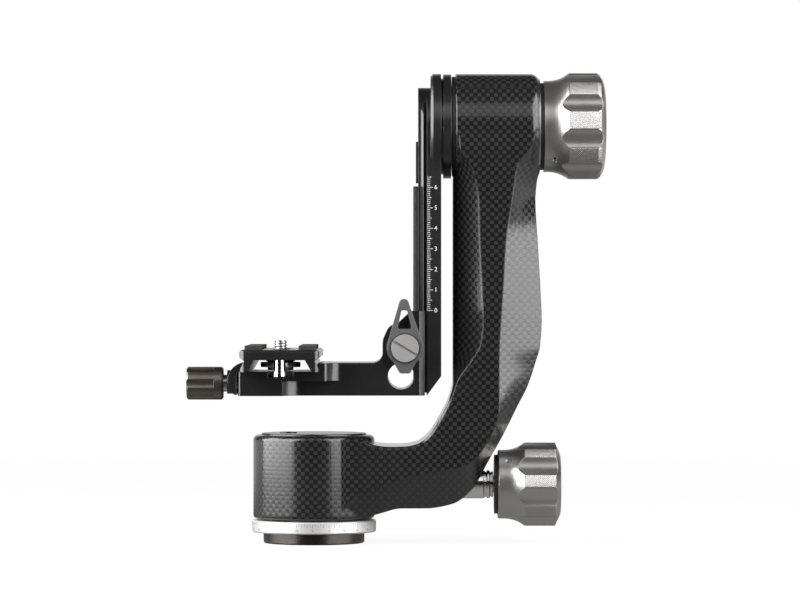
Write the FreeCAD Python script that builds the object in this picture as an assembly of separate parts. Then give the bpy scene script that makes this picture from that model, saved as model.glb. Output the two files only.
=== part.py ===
import FreeCAD, Part
import math
import os
from FreeCAD import Vector

# Gimbal tripod head. Millimetres, +Z up. The origin is the centre of the base flange's
# underside, on the pan axis. The tilt axis runs along X, the lens looks along Y.

# Axes
TILT_Z = 204.5
PAN_LOCK_Z = 28.65
LENS_LOCK_Z = 78.3

# Clearances
RUN = 0.05
GAP = 0.3
JAW_GAP = 0.4
JAW_LIP = 1.1
LOCK_TRAVEL = 2.5

# Base
FLANGE_R = 24.8
FLANGE_H = 5.4
FLANGE_CHAMFER = 0.5
TRIPOD_THREAD_R = 3.97
TRIPOD_THREAD_L = 13.0
HUB_R = 8.5
SCALE_RING_R = 30.5
SCALE_RING_BORE_R = 22.0
SCALE_RING_H = 5.9
SCALE_RING_CHAMFER = 0.6
BASE_SCREW_R = 2.0
BASE_SCREW_HEAD_R = 3.6
BASE_SCREW_CIRCLE_R = 15.5
BASE_SCREW_COUNT = 4

# Pan spindle and housing
SPINDLE_R = 15.0
SPINDLE_SHOULDER_R = 16.5
SPINDLE_SHOULDER_H = 2.5
PAN_RUNNING_GAP = 0.6
PAN_HOUSING_R = 29.8
PAN_HOUSING_H = 41.1
PAN_HOUSING_TOP_ROUND = 2.4
PAN_HOUSING_FOOT_ROUND = 2.0
CARBON_WALL = 2.5
PAN_NUT_R = 17.5
PAN_NUT_H = 3.5
PAN_CAP_R = 25.8
PAN_CAP_H = 0.9
PAN_CAP_PLUG_H = 2.4
CAP_SCREW_R = 1.5
CAP_SCREW_HEAD_R = 2.8
CAP_SCREW_CIRCLE_R = 22.6
CAP_SCREW_COUNT = 3
CAP_SCREW_L = 6.0
LEVEL_R = 4.2
LEVEL_X = -12.5
LEVEL_PROUD = 0.6

# Ball bearings, thin section
RACE_WALL = 1.9
BEARING_DEPTH = 6.0
BEARING_W = 7.0
BALL_R = 1.75
BALL_COUNT = 14
CAGE_WALL = 0.9
CAGE_W = 4.4

# Upper housing and tilt axle
TILT_HOUSING_R = 25.8
TILT_HOUSING_X = 69.4
TILT_HOUSING_L = 41.4
TILT_HOUSING_ROUND = 4.6
TILT_HOUSING_INNER_ROUND = 0.9
TILT_AXLE_R = 12.5
TILT_FLANGE_R = 25.6
TILT_FLANGE_T = 3.9
TILT_FLANGE_GROOVE = 1.1
TILT_SEAL_R = 24.5
TILT_SEAL_T = 1.6
TILT_SEAL_GAP = 0.4
TILT_BEARING_INSET = 2.1
TILT_BEARING_SPACING = 18.5
TILT_NUT_R = 15.2
TILT_NUT_T = 3.0
TILT_PAD_R = 17.0
TILT_PAD_T = 3.0
TILT_PLUG_L = 4.5

# Carbon arm
ARM_NOSE_X = 68.2
BEAM_TOP_Z = 47.2
BEAM_BOTTOM_Z = 16.8
ARM_HALF_DEPTH = 24.0

# Pan lock
LOCK_TUBE_R = 7.0
LOCK_TUBE_X = 20.5
LOCK_TUBE_STEP_X = 81.7
LOCK_TUBE_STEP = 0.5
LOCK_TUBE_END_X = 88.0
PAN_SCREW_R = 4.0
PAN_PAD_R = 6.0
PAN_PAD_L = 8.2
PAN_WASHER_R = 14.5
PAN_WASHER_T = 1.7
PAN_KNOB_R = 20.2
PAN_KNOB_NECK_R = 16.9
PAN_KNOB_RIM_CHAMFER = 0.5
PAN_KNOB_L = 30.8
PAN_KNOB_FLARE = (2.0, 12.8)
PAN_KNOB_LOBES = 8
PAN_KNOB_FLUTE_R = 8.7
PAN_KNOB_FLUTE_DEPTH = 1.9
PAN_KNOB_TURN = 16.0

# Tilt lock
TILT_SCREW_R = 5.0
TILT_WASHER_R = 21.4
TILT_WASHER_T = 1.8
TILT_KNOB_R = 25.9
TILT_KNOB_NECK_R = 22.4
TILT_KNOB_FLARE = (1.0, 11.8)
TILT_KNOB_L = 30.1
TILT_KNOB_LOBES = 9
TILT_KNOB_FLUTE_R = 6.8
TILT_KNOB_FLUTE_DEPTH = 2.1
TILT_KNOB_TURN = 35.5
SET_SCREW_R = 1.5
SET_SCREW_SINK = 0.4
SET_SCREW_SOCKET = 2.0
SET_SCREW_X = 5.0
SET_SCREW_LEAN = 0.815
TILT_SET_SCREW_LEAN = 2.4
FLARE_POWER = 2.5
FLARE_STEPS = 8

# Swinging rail
RAIL_HEAD_R = 25.8
RAIL_HEAD_T = 5.1
RAIL_HEAD_CHAMFER = 1.2
RAIL_BACK_X = 62.4
RAIL_T = 7.0
RAIL_HALF_W = 19.0
RAIL_BOTTOM_Z = 72.6
RAIL_TOE = 9.5
RAIL_EDGE_CHAMFER = 0.6
DOVETAIL_T = 6.6
DOVETAIL_DECK_T = 0.7
DOVETAIL_FLANK = 1.7
DOVETAIL_NECK_W = 1.4
DOVETAIL_FLARE = 1.2
DOVETAIL_GROOVE_DEPTH = 3.6
DOVETAIL_BOTTOM_GAP = 1.4
DECK_TOP_Z = 174.6
KEY_CHANNEL_HALF_W = 6.1
KEY_CHANNEL_DEPTH = 2.4
HEIGHT_TRAVEL = 62.0
STOP_L = 20.2
STOP_PROUD = 1.1
LOWER_STOP_L = 1.6
RAIL_SCREW_R = 2.0
RAIL_SCREW_HEAD_R = 3.6
RAIL_SCREW_COUNT = 4
AXLE_SCREW_R = 2.0
AXLE_SCREW_HEAD_R = 2.4
AXLE_SCREW_HEAD_T = 1.8
AXLE_SCREW_CIRCLE_R = 21.1
AXLE_SCREW_ANGLES = (0, 180)
AXLE_SCREW_SPREAD = 14.0

# Cradle
CRADLE_BOTTOM_Z = 72.7
CRADLE_BEAM_TOP_Z = 88.6
CRADLE_UPRIGHT_X = 33.8
CRADLE_TOP_Z = 113.9
CRADLE_HALF_W = 24.0
CRADLE_CORNER_ROUND = 5.0
CLAMP_HALF_W = 33.0
CLAMP_LEFT_X = -36.2
CLAMP_FLOOR_Z = 84.5
CLAMP_SLAB_Z = 79.9
CLAMP_RIGHT_X = 6.9
CLAMP_BLOCK_X = -14.5
CLAMP_JAW_FILLET_SHARE = 0.7
CLAMP_JAW_ROUND_SHARE = 0.22
LIGHTENING_HOLE = (42.8, 82.15)
LIGHTENING_R = 6.4
HOOK_EDGE_CHAMFER = 2.6
HOOK_REACH = 5.6
HEIGHT_JAW_X = 35.9
HEIGHT_JAW_Y = 15.0
HEIGHT_JAW_BOTTOM_Z = 75.7
HEIGHT_JAW_TRAVEL = 0.35
JAW_PIN_R = 1.5
JAW_PIN_PLACES = ((38.6, 103.2), (38.6, 91.0))
JAW_PIN_L = 22.0
JAW_PIN_HOLD = 9.0
POCKET_HALF_W = 6.0
POCKET_DEPTH = 2.9
POCKET_INNER_Y = 21.5

# Height lever
LEVER_X = 44.7
LEVER_Z = 95.85
LEVER_R = 8.84
LEVER_T = 4.0
LEVER_TIP_R = 2.4
LEVER_TIP_X = -0.5
LEVER_TIP_Z = 21.5
LEVER_WASHER_R = 8.0
LEVER_WASHER_T = 1.0
LEVER_BOLT_R = 3.0
LEVER_HEAD_R = 6.75
LEVER_HEAD_T = 1.6
LEVER_HEAD_GROOVE = 0.45
LEVER_SLOT_W = 1.1
LEVER_SLOT_DEPTH = 1.3
LEVER_SLOT_ANGLE = 31.0
LEVER_WALL = 1.9

# Lens clamp
LENS_JAW_T = 4.9
LENS_JAW_GAP = 0.7
LENS_JAW_BOSS_R = 6.5
LENS_JAW_BOSS_X = -42.6
LENS_JAW_TRAVEL = 5.0
LENS_PIN_R = 2.0
LENS_PIN_Y = 22.0
LENS_PIN_L = 18.0
LENS_SCREW_R = 3.0
LENS_SCREW_L = 31.0
LENS_COLLAR_R = 4.2
LENS_COLLAR_L = 1.9
LENS_KNOB_R = 8.1
LENS_KNOB_L = 18.0
LENS_KNOB_RIM = 4.5
LENS_KNOB_LOBES = 6
LENS_KNOB_FLUTE_R = 4.0
LENS_KNOB_FLUTE_DEPTH = 1.0

# Lens plate
PLATE_X = -15.6
PLATE_L = 100.0
PLATE_DECK_HALF_W = 19.2
PLATE_DECK_T = 3.6
PLATE_TOP_Z = 95.2
PLATE_NECK_HALF_W = 17.0
PLATE_FLANK = 1.7
PLATE_FOOT_HALF_W = 19.0
PLATE_FOOT_H = 1.2
PLATE_TOP_CHAMFER = 0.9
PLATE_CORNER_R = 2.8
PLATE_CHANNEL_TOP = 4.9
PLATE_CHANNEL_HALF_W = 12.2
PLATE_CHANNEL_FOOT_HALF_W = 15.6
PLATE_SLOT_HALF_W = 4.15
PLATE_SLOT_INSET = 14.0
PLATE_TRAVEL = 20.0
STRIP_HALF_W = 3.9
STRIP_X = 13.0
STRIP_INSET = 4.0
STRIP_SEAT = 0.6
STRIP_PROUD = 1.9
STOP_SCREW_INSET = 5.0
STOP_SCREW_R = 2.9
STOP_SCREW_Z = 82.4
STOP_SCREW_STEM_R = 1.8
STOP_SCREW_STEM_L = 3.4
CAMERA_SCREW_INSET = 22.0
CAMERA_SCREW_R = 3.175
CAMERA_SHANK_R = 2.4
CAMERA_SCREW_TOP_Z = 99.8
CAMERA_HEAD_R = 9.7
CAMERA_HEAD_Z = 86.7
CAMERA_HEAD_T = 2.5
CAMERA_HUB_R = 6.3
CAMERA_HUB_Z = 85.3
CAMERA_SLOT_W = 1.6
CAMERA_SLOT_DEPTH = 1.2
COLLAR_R = 7.0
COLLAR_T = 0.8
COLLAR_NECK_R = 3.85

# Levels and faces that follow from the sizes above
RING_TOP_Z = FLANGE_H + SCALE_RING_H
HOUSING_FOOT_Z = RING_TOP_Z + PAN_RUNNING_GAP
HOUSING_TOP_Z = HOUSING_FOOT_Z + PAN_HOUSING_H
PAN_SLEEVE_R = PAN_HOUSING_R - CARBON_WALL
PAN_LOWER_BEARING_Z = RING_TOP_Z + SPINDLE_SHOULDER_H
PAN_UPPER_BEARING_Z = HOUSING_TOP_Z - 8.0 - BEARING_W
PAN_PITCH_R = SPINDLE_R + BEARING_DEPTH / 2
TILT_PITCH_R = TILT_AXLE_R + BEARING_DEPTH / 2
TILT_SLEEVE_R = TILT_HOUSING_R - CARBON_WALL
TILT_HOUSING_END_X = TILT_HOUSING_X + TILT_HOUSING_L
TILT_FLANGE_X = RAIL_BACK_X + TILT_FLANGE_GROOVE
TILT_SHOULDER_X = TILT_FLANGE_X + TILT_FLANGE_T
TILT_BEARING_X = (TILT_HOUSING_X + TILT_BEARING_INSET,
                  TILT_HOUSING_X + TILT_BEARING_INSET + TILT_BEARING_SPACING)
TILT_AXLE_END_X = TILT_BEARING_X[1] + BEARING_W + TILT_NUT_T
TILT_PAD_X = TILT_AXLE_END_X + GAP
TILT_WASHER_X = TILT_HOUSING_END_X + GAP
TILT_KNOB_X = TILT_WASHER_X + TILT_WASHER_T
PAN_WASHER_X = LOCK_TUBE_END_X + 2 * GAP
PAN_KNOB_X = PAN_WASHER_X + PAN_WASHER_T
PAN_PAD_X = SPINDLE_R + GAP
RAIL_FRONT_X = RAIL_BACK_X - RAIL_T
DECK_X = RAIL_FRONT_X - DOVETAIL_T
CHANNEL_X = DECK_X + KEY_CHANNEL_DEPTH
CRADLE_FACE_X = DECK_X - GAP
HOOK_END_X = DECK_X + HOOK_REACH
LENS_JAW_FACE_X = CLAMP_LEFT_X - LENS_JAW_GAP
LEVER_Y = -CRADLE_HALF_W - LEVER_WASHER_T
CLAMP_STEP = CLAMP_HALF_W - CRADLE_HALF_W
PLATE_SLOT_HALF_L = PLATE_L / 2 - PLATE_SLOT_INSET
STRIP_L = PLATE_L - 2 * STRIP_INSET
STOP_SCREW_Y = PLATE_L / 2 - STOP_SCREW_INSET
CAMERA_SCREW_Y = CAMERA_SCREW_INSET - PLATE_L / 2
CAMERA_THREAD_Z = PLATE_TOP_Z + 0.3

AXES = {"x": Vector(1, 0, 0), "y": Vector(0, 1, 0), "z": Vector(0, 0, 1)}


def cylinder(axis, radius, start, end, centre=(0, 0)):
    """Cylinder along an axis, centred on the other two coordinates in X, Y, Z order."""
    places = {"x": (start, centre[0], centre[1]),
              "y": (centre[0], start, centre[1]),
              "z": (centre[0], centre[1], start)}
    return Part.makeCylinder(radius, end - start, Vector(*places[axis]), AXES[axis])


def tube(axis, outer, inner, start, end, centre=(0, 0)):
    return cylinder(axis, outer, start, end, centre).cut(cylinder(axis, inner, start, end, centre))


def block(x0, x1, y0, y1, z0, z1):
    return Part.makeBox(x1 - x0, y1 - y0, z1 - z0, Vector(x0, y0, z0))


def turned_x(outline, z):
    """Solid of revolution about the line Y = 0 at height z. The outline is (x, radius)."""
    points = [Vector(x, 0, z + radius) for x, radius in outline]
    face = Part.Face(Part.makePolygon(points + [points[0]]))
    return face.revolve(Vector(0, 0, z), AXES["x"], 360)


def turned_z(outline, x=0, y=0):
    """Solid of revolution about a vertical line. The outline is (radius, z)."""
    points = [Vector(x + radius, y, z) for radius, z in outline]
    face = Part.Face(Part.makePolygon(points + [points[0]]))
    return face.revolve(Vector(x, y, 0), AXES["z"], 360)


def rounded_face(corners, place):
    """Face of a closed outline. Each corner is (u, v) or (u, v, radius)."""
    edges = []
    ends = []
    count = len(corners)
    for index, corner in enumerate(corners):
        before, after = corners[index - 1], corners[(index + 1) % count]
        point = Vector(corner[0], corner[1], 0)
        radius = corner[2] if len(corner) > 2 else 0
        if not radius:
            ends.append((point, point))
            continue
        back = (Vector(before[0], before[1], 0) - point).normalize()
        ahead = (Vector(after[0], after[1], 0) - point).normalize()
        half = back.getAngle(ahead) / 2
        reach = radius / math.tan(half)
        middle = point + (back + ahead).normalize() * (radius / math.sin(half) - radius)
        ends.append((point + back * reach, point + ahead * reach, middle))
    for index, end in enumerate(ends):
        if len(end) == 3:
            edges.append(Part.Arc(place(end[0]), place(end[2]), place(end[1])).toShape())
        following = ends[(index + 1) % count][0]
        if end[1].distanceToPoint(following) > 1e-6:
            edges.append(Part.LineSegment(place(end[1]), place(following)).toShape())
    return Part.Face(Part.Wire(edges))


def plate_xz(corners, y0, y1):
    """Plate with its outline seen from the front, between two depths."""
    face = rounded_face(corners, lambda point: Vector(point.x, y0, point.y))
    return face.extrude(Vector(0, y1 - y0, 0))


def plate_xy(corners, z0, z1):
    """Plate with its outline seen from above, between two heights."""
    face = rounded_face(corners, lambda point: Vector(point.x, point.y, z0))
    return face.extrude(Vector(0, 0, z1 - z0))


def plate_yz(corners, x0, x1):
    """Plate with its outline seen along X, between two places on X."""
    face = rounded_face(corners, lambda point: Vector(x0, point.x, point.y))
    return face.extrude(Vector(x1 - x0, 0, 0))


def around(count, start=0.0):
    """Angles in radians of evenly spaced places on a circle."""
    return [math.radians(start) + 2 * math.pi * index / count for index in range(count)]


def joined(shapes):
    return shapes[0].fuse(shapes[1:]).removeSplitter() if len(shapes) > 1 else shapes[0]


def screw_z(radius, head_r, x, y, tip_z, head_z, up=1):
    """Countersunk screw along Z with a hexagon socket. Its head is flush at head_z."""
    head_h = head_r - radius
    body = turned_z([(0, tip_z), (radius, tip_z), (radius, head_z - up * head_h),
                     (head_r, head_z), (0, head_z)], x, y)
    sides = [(x + 0.55 * head_r * math.cos(a), y + 0.55 * head_r * math.sin(a)) for a in around(6)]
    low, high = sorted((head_z, head_z - up * head_h))
    return body.cut(plate_xy(sides, low, high))


def screw_hole_z(radius, head_r, x, y, tip_z, head_z, up=1):
    head_h = head_r - radius
    return turned_z([(0, tip_z), (radius, tip_z), (radius, head_z - up * head_h),
                     (head_r, head_z), (0, head_z)], x, y)


def base_screw_places():
    return [(BASE_SCREW_CIRCLE_R * math.cos(a), BASE_SCREW_CIRCLE_R * math.sin(a))
            for a in around(BASE_SCREW_COUNT, 45)]


def base_screw_tip_z():
    return RING_TOP_Z - 1.5


def base_flange():
    """Foot disc with a hub that holds the tripod thread."""
    disc = turned_z([(0, 0), (FLANGE_R - FLANGE_CHAMFER, 0), (FLANGE_R, FLANGE_CHAMFER),
                     (FLANGE_R, FLANGE_H), (HUB_R, FLANGE_H), (HUB_R, TRIPOD_THREAD_L + 2),
                     (0, TRIPOD_THREAD_L + 2)])
    disc = disc.cut(cylinder("z", TRIPOD_THREAD_R, 0, TRIPOD_THREAD_L))
    for x, y in base_screw_places():
        disc = disc.cut(screw_hole_z(BASE_SCREW_R, BASE_SCREW_HEAD_R, x, y, FLANGE_H, 0, -1))
    return disc


def pan_scale_ring():
    edge = SCALE_RING_CHAMFER
    return turned_z([(SCALE_RING_BORE_R, FLANGE_H), (SCALE_RING_R - edge, FLANGE_H),
                     (SCALE_RING_R, FLANGE_H + edge), (SCALE_RING_R, RING_TOP_Z - edge),
                     (SCALE_RING_R - edge, RING_TOP_Z), (SCALE_RING_BORE_R, RING_TOP_Z)])


def pan_spindle():
    """Fixed post that both pan bearings sit on, with the brake track between them."""
    nut_z = PAN_UPPER_BEARING_Z + BEARING_W
    post = turned_z([(0, FLANGE_H), (SCALE_RING_BORE_R, FLANGE_H), (SCALE_RING_BORE_R, RING_TOP_Z),
                     (SPINDLE_SHOULDER_R, RING_TOP_Z), (SPINDLE_SHOULDER_R, PAN_LOWER_BEARING_Z),
                     (SPINDLE_R, PAN_LOWER_BEARING_Z), (SPINDLE_R, nut_z + PAN_NUT_H),
                     (0, nut_z + PAN_NUT_H)])
    post = post.cut(cylinder("z", HUB_R, FLANGE_H, TRIPOD_THREAD_L + 2))
    for x, y in base_screw_places():
        post = post.cut(cylinder("z", BASE_SCREW_R, FLANGE_H, base_screw_tip_z(), (x, y)))
    return post


def base_screws():
    return [screw_z(BASE_SCREW_R, BASE_SCREW_HEAD_R, x, y, base_screw_tip_z(), 0, -1)
            for x, y in base_screw_places()]


def race_groove(axis, pitch_r, middle, centre_z):
    centre = Vector(0, 0, middle) if axis == "z" else Vector(middle, 0, centre_z)
    return Part.makeTorus(pitch_r, BALL_R + GAP, centre, AXES[axis])


def inner_race(axis, bore_r, start, centre=(0, 0)):
    race = tube(axis, bore_r + RACE_WALL, bore_r, start, start + BEARING_W, centre)
    return race.cut(race_groove(axis, bore_r + BEARING_DEPTH / 2, start + BEARING_W / 2, centre[1]))


def outer_race(axis, bore_r, start, centre=(0, 0)):
    rim = bore_r + BEARING_DEPTH
    race = tube(axis, rim, rim - RACE_WALL, start, start + BEARING_W, centre)
    return race.cut(race_groove(axis, bore_r + BEARING_DEPTH / 2, start + BEARING_W / 2, centre[1]))


def balls_and_cage(axis, bore_r, start, centre=(0, 0)):
    """Ring of balls held by their cage."""
    pitch_r = bore_r + BEARING_DEPTH / 2
    middle = start + BEARING_W / 2
    cage = tube(axis, pitch_r + CAGE_WALL / 2, pitch_r - CAGE_WALL / 2,
                middle - CAGE_W / 2, middle + CAGE_W / 2, centre)
    balls = []
    for angle in around(BALL_COUNT):
        u, v = pitch_r * math.cos(angle), pitch_r * math.sin(angle)
        place = Vector(u, v, middle) if axis == "z" else Vector(middle, u, centre[1] + v)
        balls.append(Part.makeSphere(BALL_R, place))
    return cage.fuse(balls)


def pan_spindle_nut():
    start = PAN_UPPER_BEARING_Z + BEARING_W
    nut = tube("z", PAN_NUT_R, SPINDLE_R, start, start + PAN_NUT_H)
    for angle in around(4):
        x, y = PAN_NUT_R * math.cos(angle), PAN_NUT_R * math.sin(angle)
        nut = nut.cut(cylinder("z", 1.6, start, start + PAN_NUT_H, (x, y)))
    return nut


def arm_stations():
    """Stations from the upper housing down round the elbow to the lower housing.

    Each has four (x, z) places: inner edge, inner ridge, outer ridge and outer edge, then
    their half widths along Y in the same order.
    """
    nose, deep = ARM_NOSE_X, ARM_HALF_DEPTH
    left, right, axis = TILT_HOUSING_X, TILT_HOUSING_END_X, TILT_Z
    top, low = BEAM_TOP_Z, BEAM_BOTTOM_Z
    return [
        ((left + 0.8, axis - 1.5), (left + 1.6, axis - 1.5), (right - 1.7, axis - 1.5),
         (right - 0.7, axis - 1.5), 24.5, deep + 1.2, deep + 1.2, 24.5),
        ((left + 0.2, axis - 10.5), (left + 1.8, axis - 10.5), (right - 4.7, axis - 10.5),
         (right - 0.2, axis - 10.5), 18, deep + 1.5, deep + 1.5, 18.5),
        ((nose + 0.3, axis - 18.9), (nose + 7.8, axis - 18.9), (nose + 31.6, axis - 18.9),
         (nose + 43.1, axis - 18.9), 10, deep + 1.2, deep + 1.2, 12.5),
        ((nose, axis - 27.5), (nose + 10.9, axis - 27.5), (nose + 29.9, axis - 27.5),
         (nose + 41.1, axis - 27.5), 8, deep + 0.9, deep + 0.9, 10),
        ((nose, axis - 36.3), (nose + 12.2, axis - 36.3), (nose + 28.7, axis - 36.3),
         (nose + 40.4, axis - 36.3), 7.5, deep + 0.6, deep + 0.6, 9),
        ((nose, axis - 56), (nose + 12.8, axis - 56), (nose + 25.8, axis - 56),
         (nose + 41.5, axis - 56), 7, deep + 0.2, deep + 0.2, 9),
        ((nose, axis - 78.5), (nose + 13.9, axis - 78.5), (nose + 24.5, axis - 78.5),
         (nose + 42.8, axis - 78.5), 7, deep, deep, 9),
        ((nose, top + 61.8), (nose + 14.4, top + 61.8), (nose + 23.4, top + 61.8),
         (nose + 43.5, top + 61.8), 7, deep, deep, 9),
        ((nose, top + 50), (nose + 13.4, top + 51), (nose + 22.7, top + 50.8),
         (nose + 42.7, top + 49.8), 7.5, deep, deep, 9.5),
        ((nose, top + 40.2), (nose + 8.4, top + 42), (nose + 22.5, top + 41.2),
         (nose + 39.9, top + 40), 9, deep, deep, 10.5),
        ((nose, top + 32.2), (nose + 2.1, top + 33), (nose + 22.5, top + 32.3),
         (nose + 36.8, top + 30.8), 18, deep, deep + 0.2, 12),
        ((nose - 2, top + 23.7), (nose - 1.1, top + 23.1), (nose + 22.4, top + 18.2),
         (nose + 30.7, top + 18.7), 22.6, deep - 0.4, deep + 0.6, 14),
        ((nose - 6.6, top + 14.5), (nose - 5.8, top + 13.8), (nose + 19.5, top + 8.7),
         (nose + 24.6, top + 6.5), 23.4, deep + 0.4, deep + 1.2, 15.5),
        ((nose - 12.3, top + 5.8), (nose - 11.7, top + 4.9), (nose + 12.1, top - 3.3),
         (nose + 16.8, top - 7.4), 24.2, deep + 1, deep + 1.5, 15),
        ((nose - 17.7, top + 2), (nose - 17.4, top + 1), (nose + 4.9, low + 21.8),
         (nose + 9.5, low + 10.2), 24.6, deep + 1.6, deep + 1.8, 14),
        ((nose - 22.9, top + 0.9), (nose - 22.7, top - 0.1), (nose - 4.9, low + 19.6),
         (nose - 0.3, low + 2.8), 25, deep + 2, deep + 2, 14),
        ((nose - 28.1, top + 0.7), (nose - 28, top - 0.3), (nose - 15.5, low + 17.6),
         (nose - 13.1, low + 0.6), 25.2, deep + 2.1, deep + 2, 14),
        ((nose - 33.5, top + 0.8), (nose - 33.4, top - 0.2), (nose - 26.5, low + 15),
         (nose - 25.3, low + 0.6), 25.2, deep + 2, deep + 1.8, 15),
        ((nose - 38.9, top + 1.7), (nose - 38.8, top + 0.7), (nose - 37.4, low + 12.3),
         (nose - 35.8, low - 1.8), 24.6, deep + 1.6, deep + 1.5, 17),
        ((nose - 44.4, top + 4.2), (nose - 44.4, top + 3.2), (nose - 45.6, low + 9.4),
         (nose - 44, low - 3.9), 24, deep + 1.5, deep + 1.4, 19),
        ((nose - 49.6, top + 5), (nose - 49.6, top + 4), (nose - 49.8, low + 5),
         (nose - 49.6, low - 4.6), 23.6, deep + 1.7, deep + 1.7, 21),
        ((nose - 54.3, top + 5), (nose - 54.3, top + 4), (nose - 54.3, low + 0.5),
         (nose - 54.3, low - 4.6), 23, deep + 2.5, deep + 2.4, 22),
        ((nose - 59, top + 4.8), (nose - 59, top + 3.8), (nose - 59, low - 2.6),
         (nose - 59, low - 4.6), 22, deep + 3.7, deep + 3.7, 22),
    ]


def station_parameters(stations):
    """Distance along the arm at each station."""
    middles = [Vector(s[1][0] + s[2][0], 0, s[1][1] + s[2][1]) / 2 for s in stations]
    distances = [0.0]
    for before, after in zip(middles, middles[1:]):
        distances.append(distances[-1] + before.distanceToPoint(after))
    return distances


def even_tangents(points, distances):
    """Tangents that keep a curve between its points, with no overshoot."""
    steps = [b - a for a, b in zip(distances, distances[1:])]
    slopes = [(b - a) / step for a, b, step in zip(points, points[1:], steps)]
    tangents = [slopes[0]]
    for index in range(1, len(points) - 1):
        before, after = 2 * steps[index] + steps[index - 1], steps[index] + 2 * steps[index - 1]
        tangents.append(Vector(*[0.0 if a * b <= 0 else (before + after) / (before / a + after / b)
                                 for a, b in zip(slopes[index - 1], slopes[index])]))
    return tangents + [slopes[-1]]


def arm_beam():
    """The arm's eight-sided beam: a ruled face between each pair of neighbouring ridges."""
    stations = arm_stations()
    distances = station_parameters(stations)
    ridges, ends = [], ([], [])
    for corner, side in [(0, -1), (1, -1), (2, -1), (3, -1), (3, 1), (2, 1), (1, 1), (0, 1)]:
        points = [Vector(s[corner][0], side * s[4 + corner], s[corner][1]) for s in stations]
        curve = Part.BSplineCurve()
        curve.interpolate(Points=points, Parameters=distances, Scale=False,
                          Tangents=even_tangents(points, distances), TangentFlags=[True] * len(points))
        ridges.append(curve.toShape())
        ends[0].append(points[0])
        ends[1].append(points[-1])
    faces = [Part.makeRuledSurface(a, b) for a, b in zip(ridges, ridges[1:] + ridges[:1])]
    faces += [Part.Face(Part.makePolygon(end + [end[0]])) for end in ends]
    shell = Part.makeShell(faces)
    shell.sewShape()
    beam = Part.makeSolid(shell)
    if beam.Volume < 0:
        beam.reverse()
    return beam


def rounded_housing(axis, radius, start, end, round_start, round_end, centre=(0, 0)):
    """Cylinder with rounded rims."""
    body = cylinder(axis, radius, start, end, centre)
    for place, size in ((start, round_start), (end, round_end)):
        rims = [edge for edge in body.Edges
                if edge.Closed and abs(edge.BoundBox.Center.dot(AXES[axis]) - place) < 1e-3]
        body = body.makeFillet(size, rims)
    return body


def swing_arm():
    """Carbon moulding: lower housing, curved beam and upper housing in one."""
    lower = rounded_housing("z", PAN_HOUSING_R, HOUSING_FOOT_Z, HOUSING_TOP_Z,
                            PAN_HOUSING_FOOT_ROUND, PAN_HOUSING_TOP_ROUND)
    upper = rounded_housing("x", TILT_HOUSING_R, TILT_HOUSING_X, TILT_HOUSING_END_X,
                            TILT_HOUSING_INNER_ROUND, TILT_HOUSING_ROUND, (0, TILT_Z))
    body = arm_beam().fuse([lower, upper]).removeSplitter()
    body = body.cut(cylinder("z", PAN_SLEEVE_R, HOUSING_FOOT_Z - 1, HOUSING_TOP_Z + 1))
    body = body.cut(cylinder("x", TILT_SLEEVE_R, TILT_HOUSING_X - 2, TILT_HOUSING_END_X + 1,
                             (0, TILT_Z)))
    body = body.cut(cylinder("x", TILT_SEAL_R, TILT_HOUSING_X - 2, TILT_HOUSING_X, (0, TILT_Z)))
    return body.cut(cylinder("x", LOCK_TUBE_R, LOCK_TUBE_X, LOCK_TUBE_END_X, (0, PAN_LOCK_Z)))


def pan_sleeve():
    """Aluminium liner with a seat for each bearing."""
    seat_r = SPINDLE_R + BEARING_DEPTH
    rib_r = seat_r - 1.5
    lower_seat = PAN_LOWER_BEARING_Z + BEARING_W
    foot = HOUSING_FOOT_Z + 0.4
    body = turned_z([(seat_r, foot), (PAN_SLEEVE_R, foot), (PAN_SLEEVE_R, HOUSING_TOP_Z),
                     (seat_r, HOUSING_TOP_Z), (seat_r, PAN_UPPER_BEARING_Z),
                     (rib_r, PAN_UPPER_BEARING_Z), (rib_r, lower_seat), (seat_r, lower_seat)])
    body = body.cut(cylinder("x", LOCK_TUBE_R, 0, PAN_SLEEVE_R + 1, (0, PAN_LOCK_Z)))
    for x, y in cap_screw_places():
        body = body.cut(screw_hole_z(CAP_SCREW_R, CAP_SCREW_HEAD_R, x, y, cap_screw_tip_z(),
                                     HOUSING_TOP_Z + PAN_CAP_H))
    return body


def cap_screw_places():
    return [(CAP_SCREW_CIRCLE_R * math.cos(a), CAP_SCREW_CIRCLE_R * math.sin(a))
            for a in around(CAP_SCREW_COUNT, 30)]


def cap_screw_tip_z():
    return HOUSING_TOP_Z - CAP_SCREW_L


def pan_top_cap():
    top = HOUSING_TOP_Z + PAN_CAP_H
    plug_r = SPINDLE_R + BEARING_DEPTH
    cap = turned_z([(0, HOUSING_TOP_Z - PAN_CAP_PLUG_H), (plug_r, HOUSING_TOP_Z - PAN_CAP_PLUG_H),
                    (plug_r, HOUSING_TOP_Z), (PAN_CAP_R, HOUSING_TOP_Z), (PAN_CAP_R, top - 0.3),
                    (PAN_CAP_R - 0.3, top), (0, top)])
    for x, y in cap_screw_places():
        cap = cap.cut(screw_hole_z(CAP_SCREW_R, CAP_SCREW_HEAD_R, x, y, HOUSING_TOP_Z - PAN_CAP_PLUG_H - 0.6, top))
    return cap.cut(cylinder("z", LEVEL_R, top - 2.2, top, (LEVEL_X, 0)))


def pan_level():
    """Round spirit level, a little proud of the cap."""
    top = HOUSING_TOP_Z + PAN_CAP_H
    vial = turned_z([(0, top - 2.2), (LEVEL_R, top - 2.2), (LEVEL_R, top + LEVEL_PROUD - 0.2),
                     (LEVEL_R - 0.2, top + LEVEL_PROUD), (LEVEL_R - 0.9, top + LEVEL_PROUD),
                     (LEVEL_R - 0.9, top + LEVEL_PROUD - 0.3), (0, top + LEVEL_PROUD - 0.1)],
                    LEVEL_X, 0)
    return vial


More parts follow.
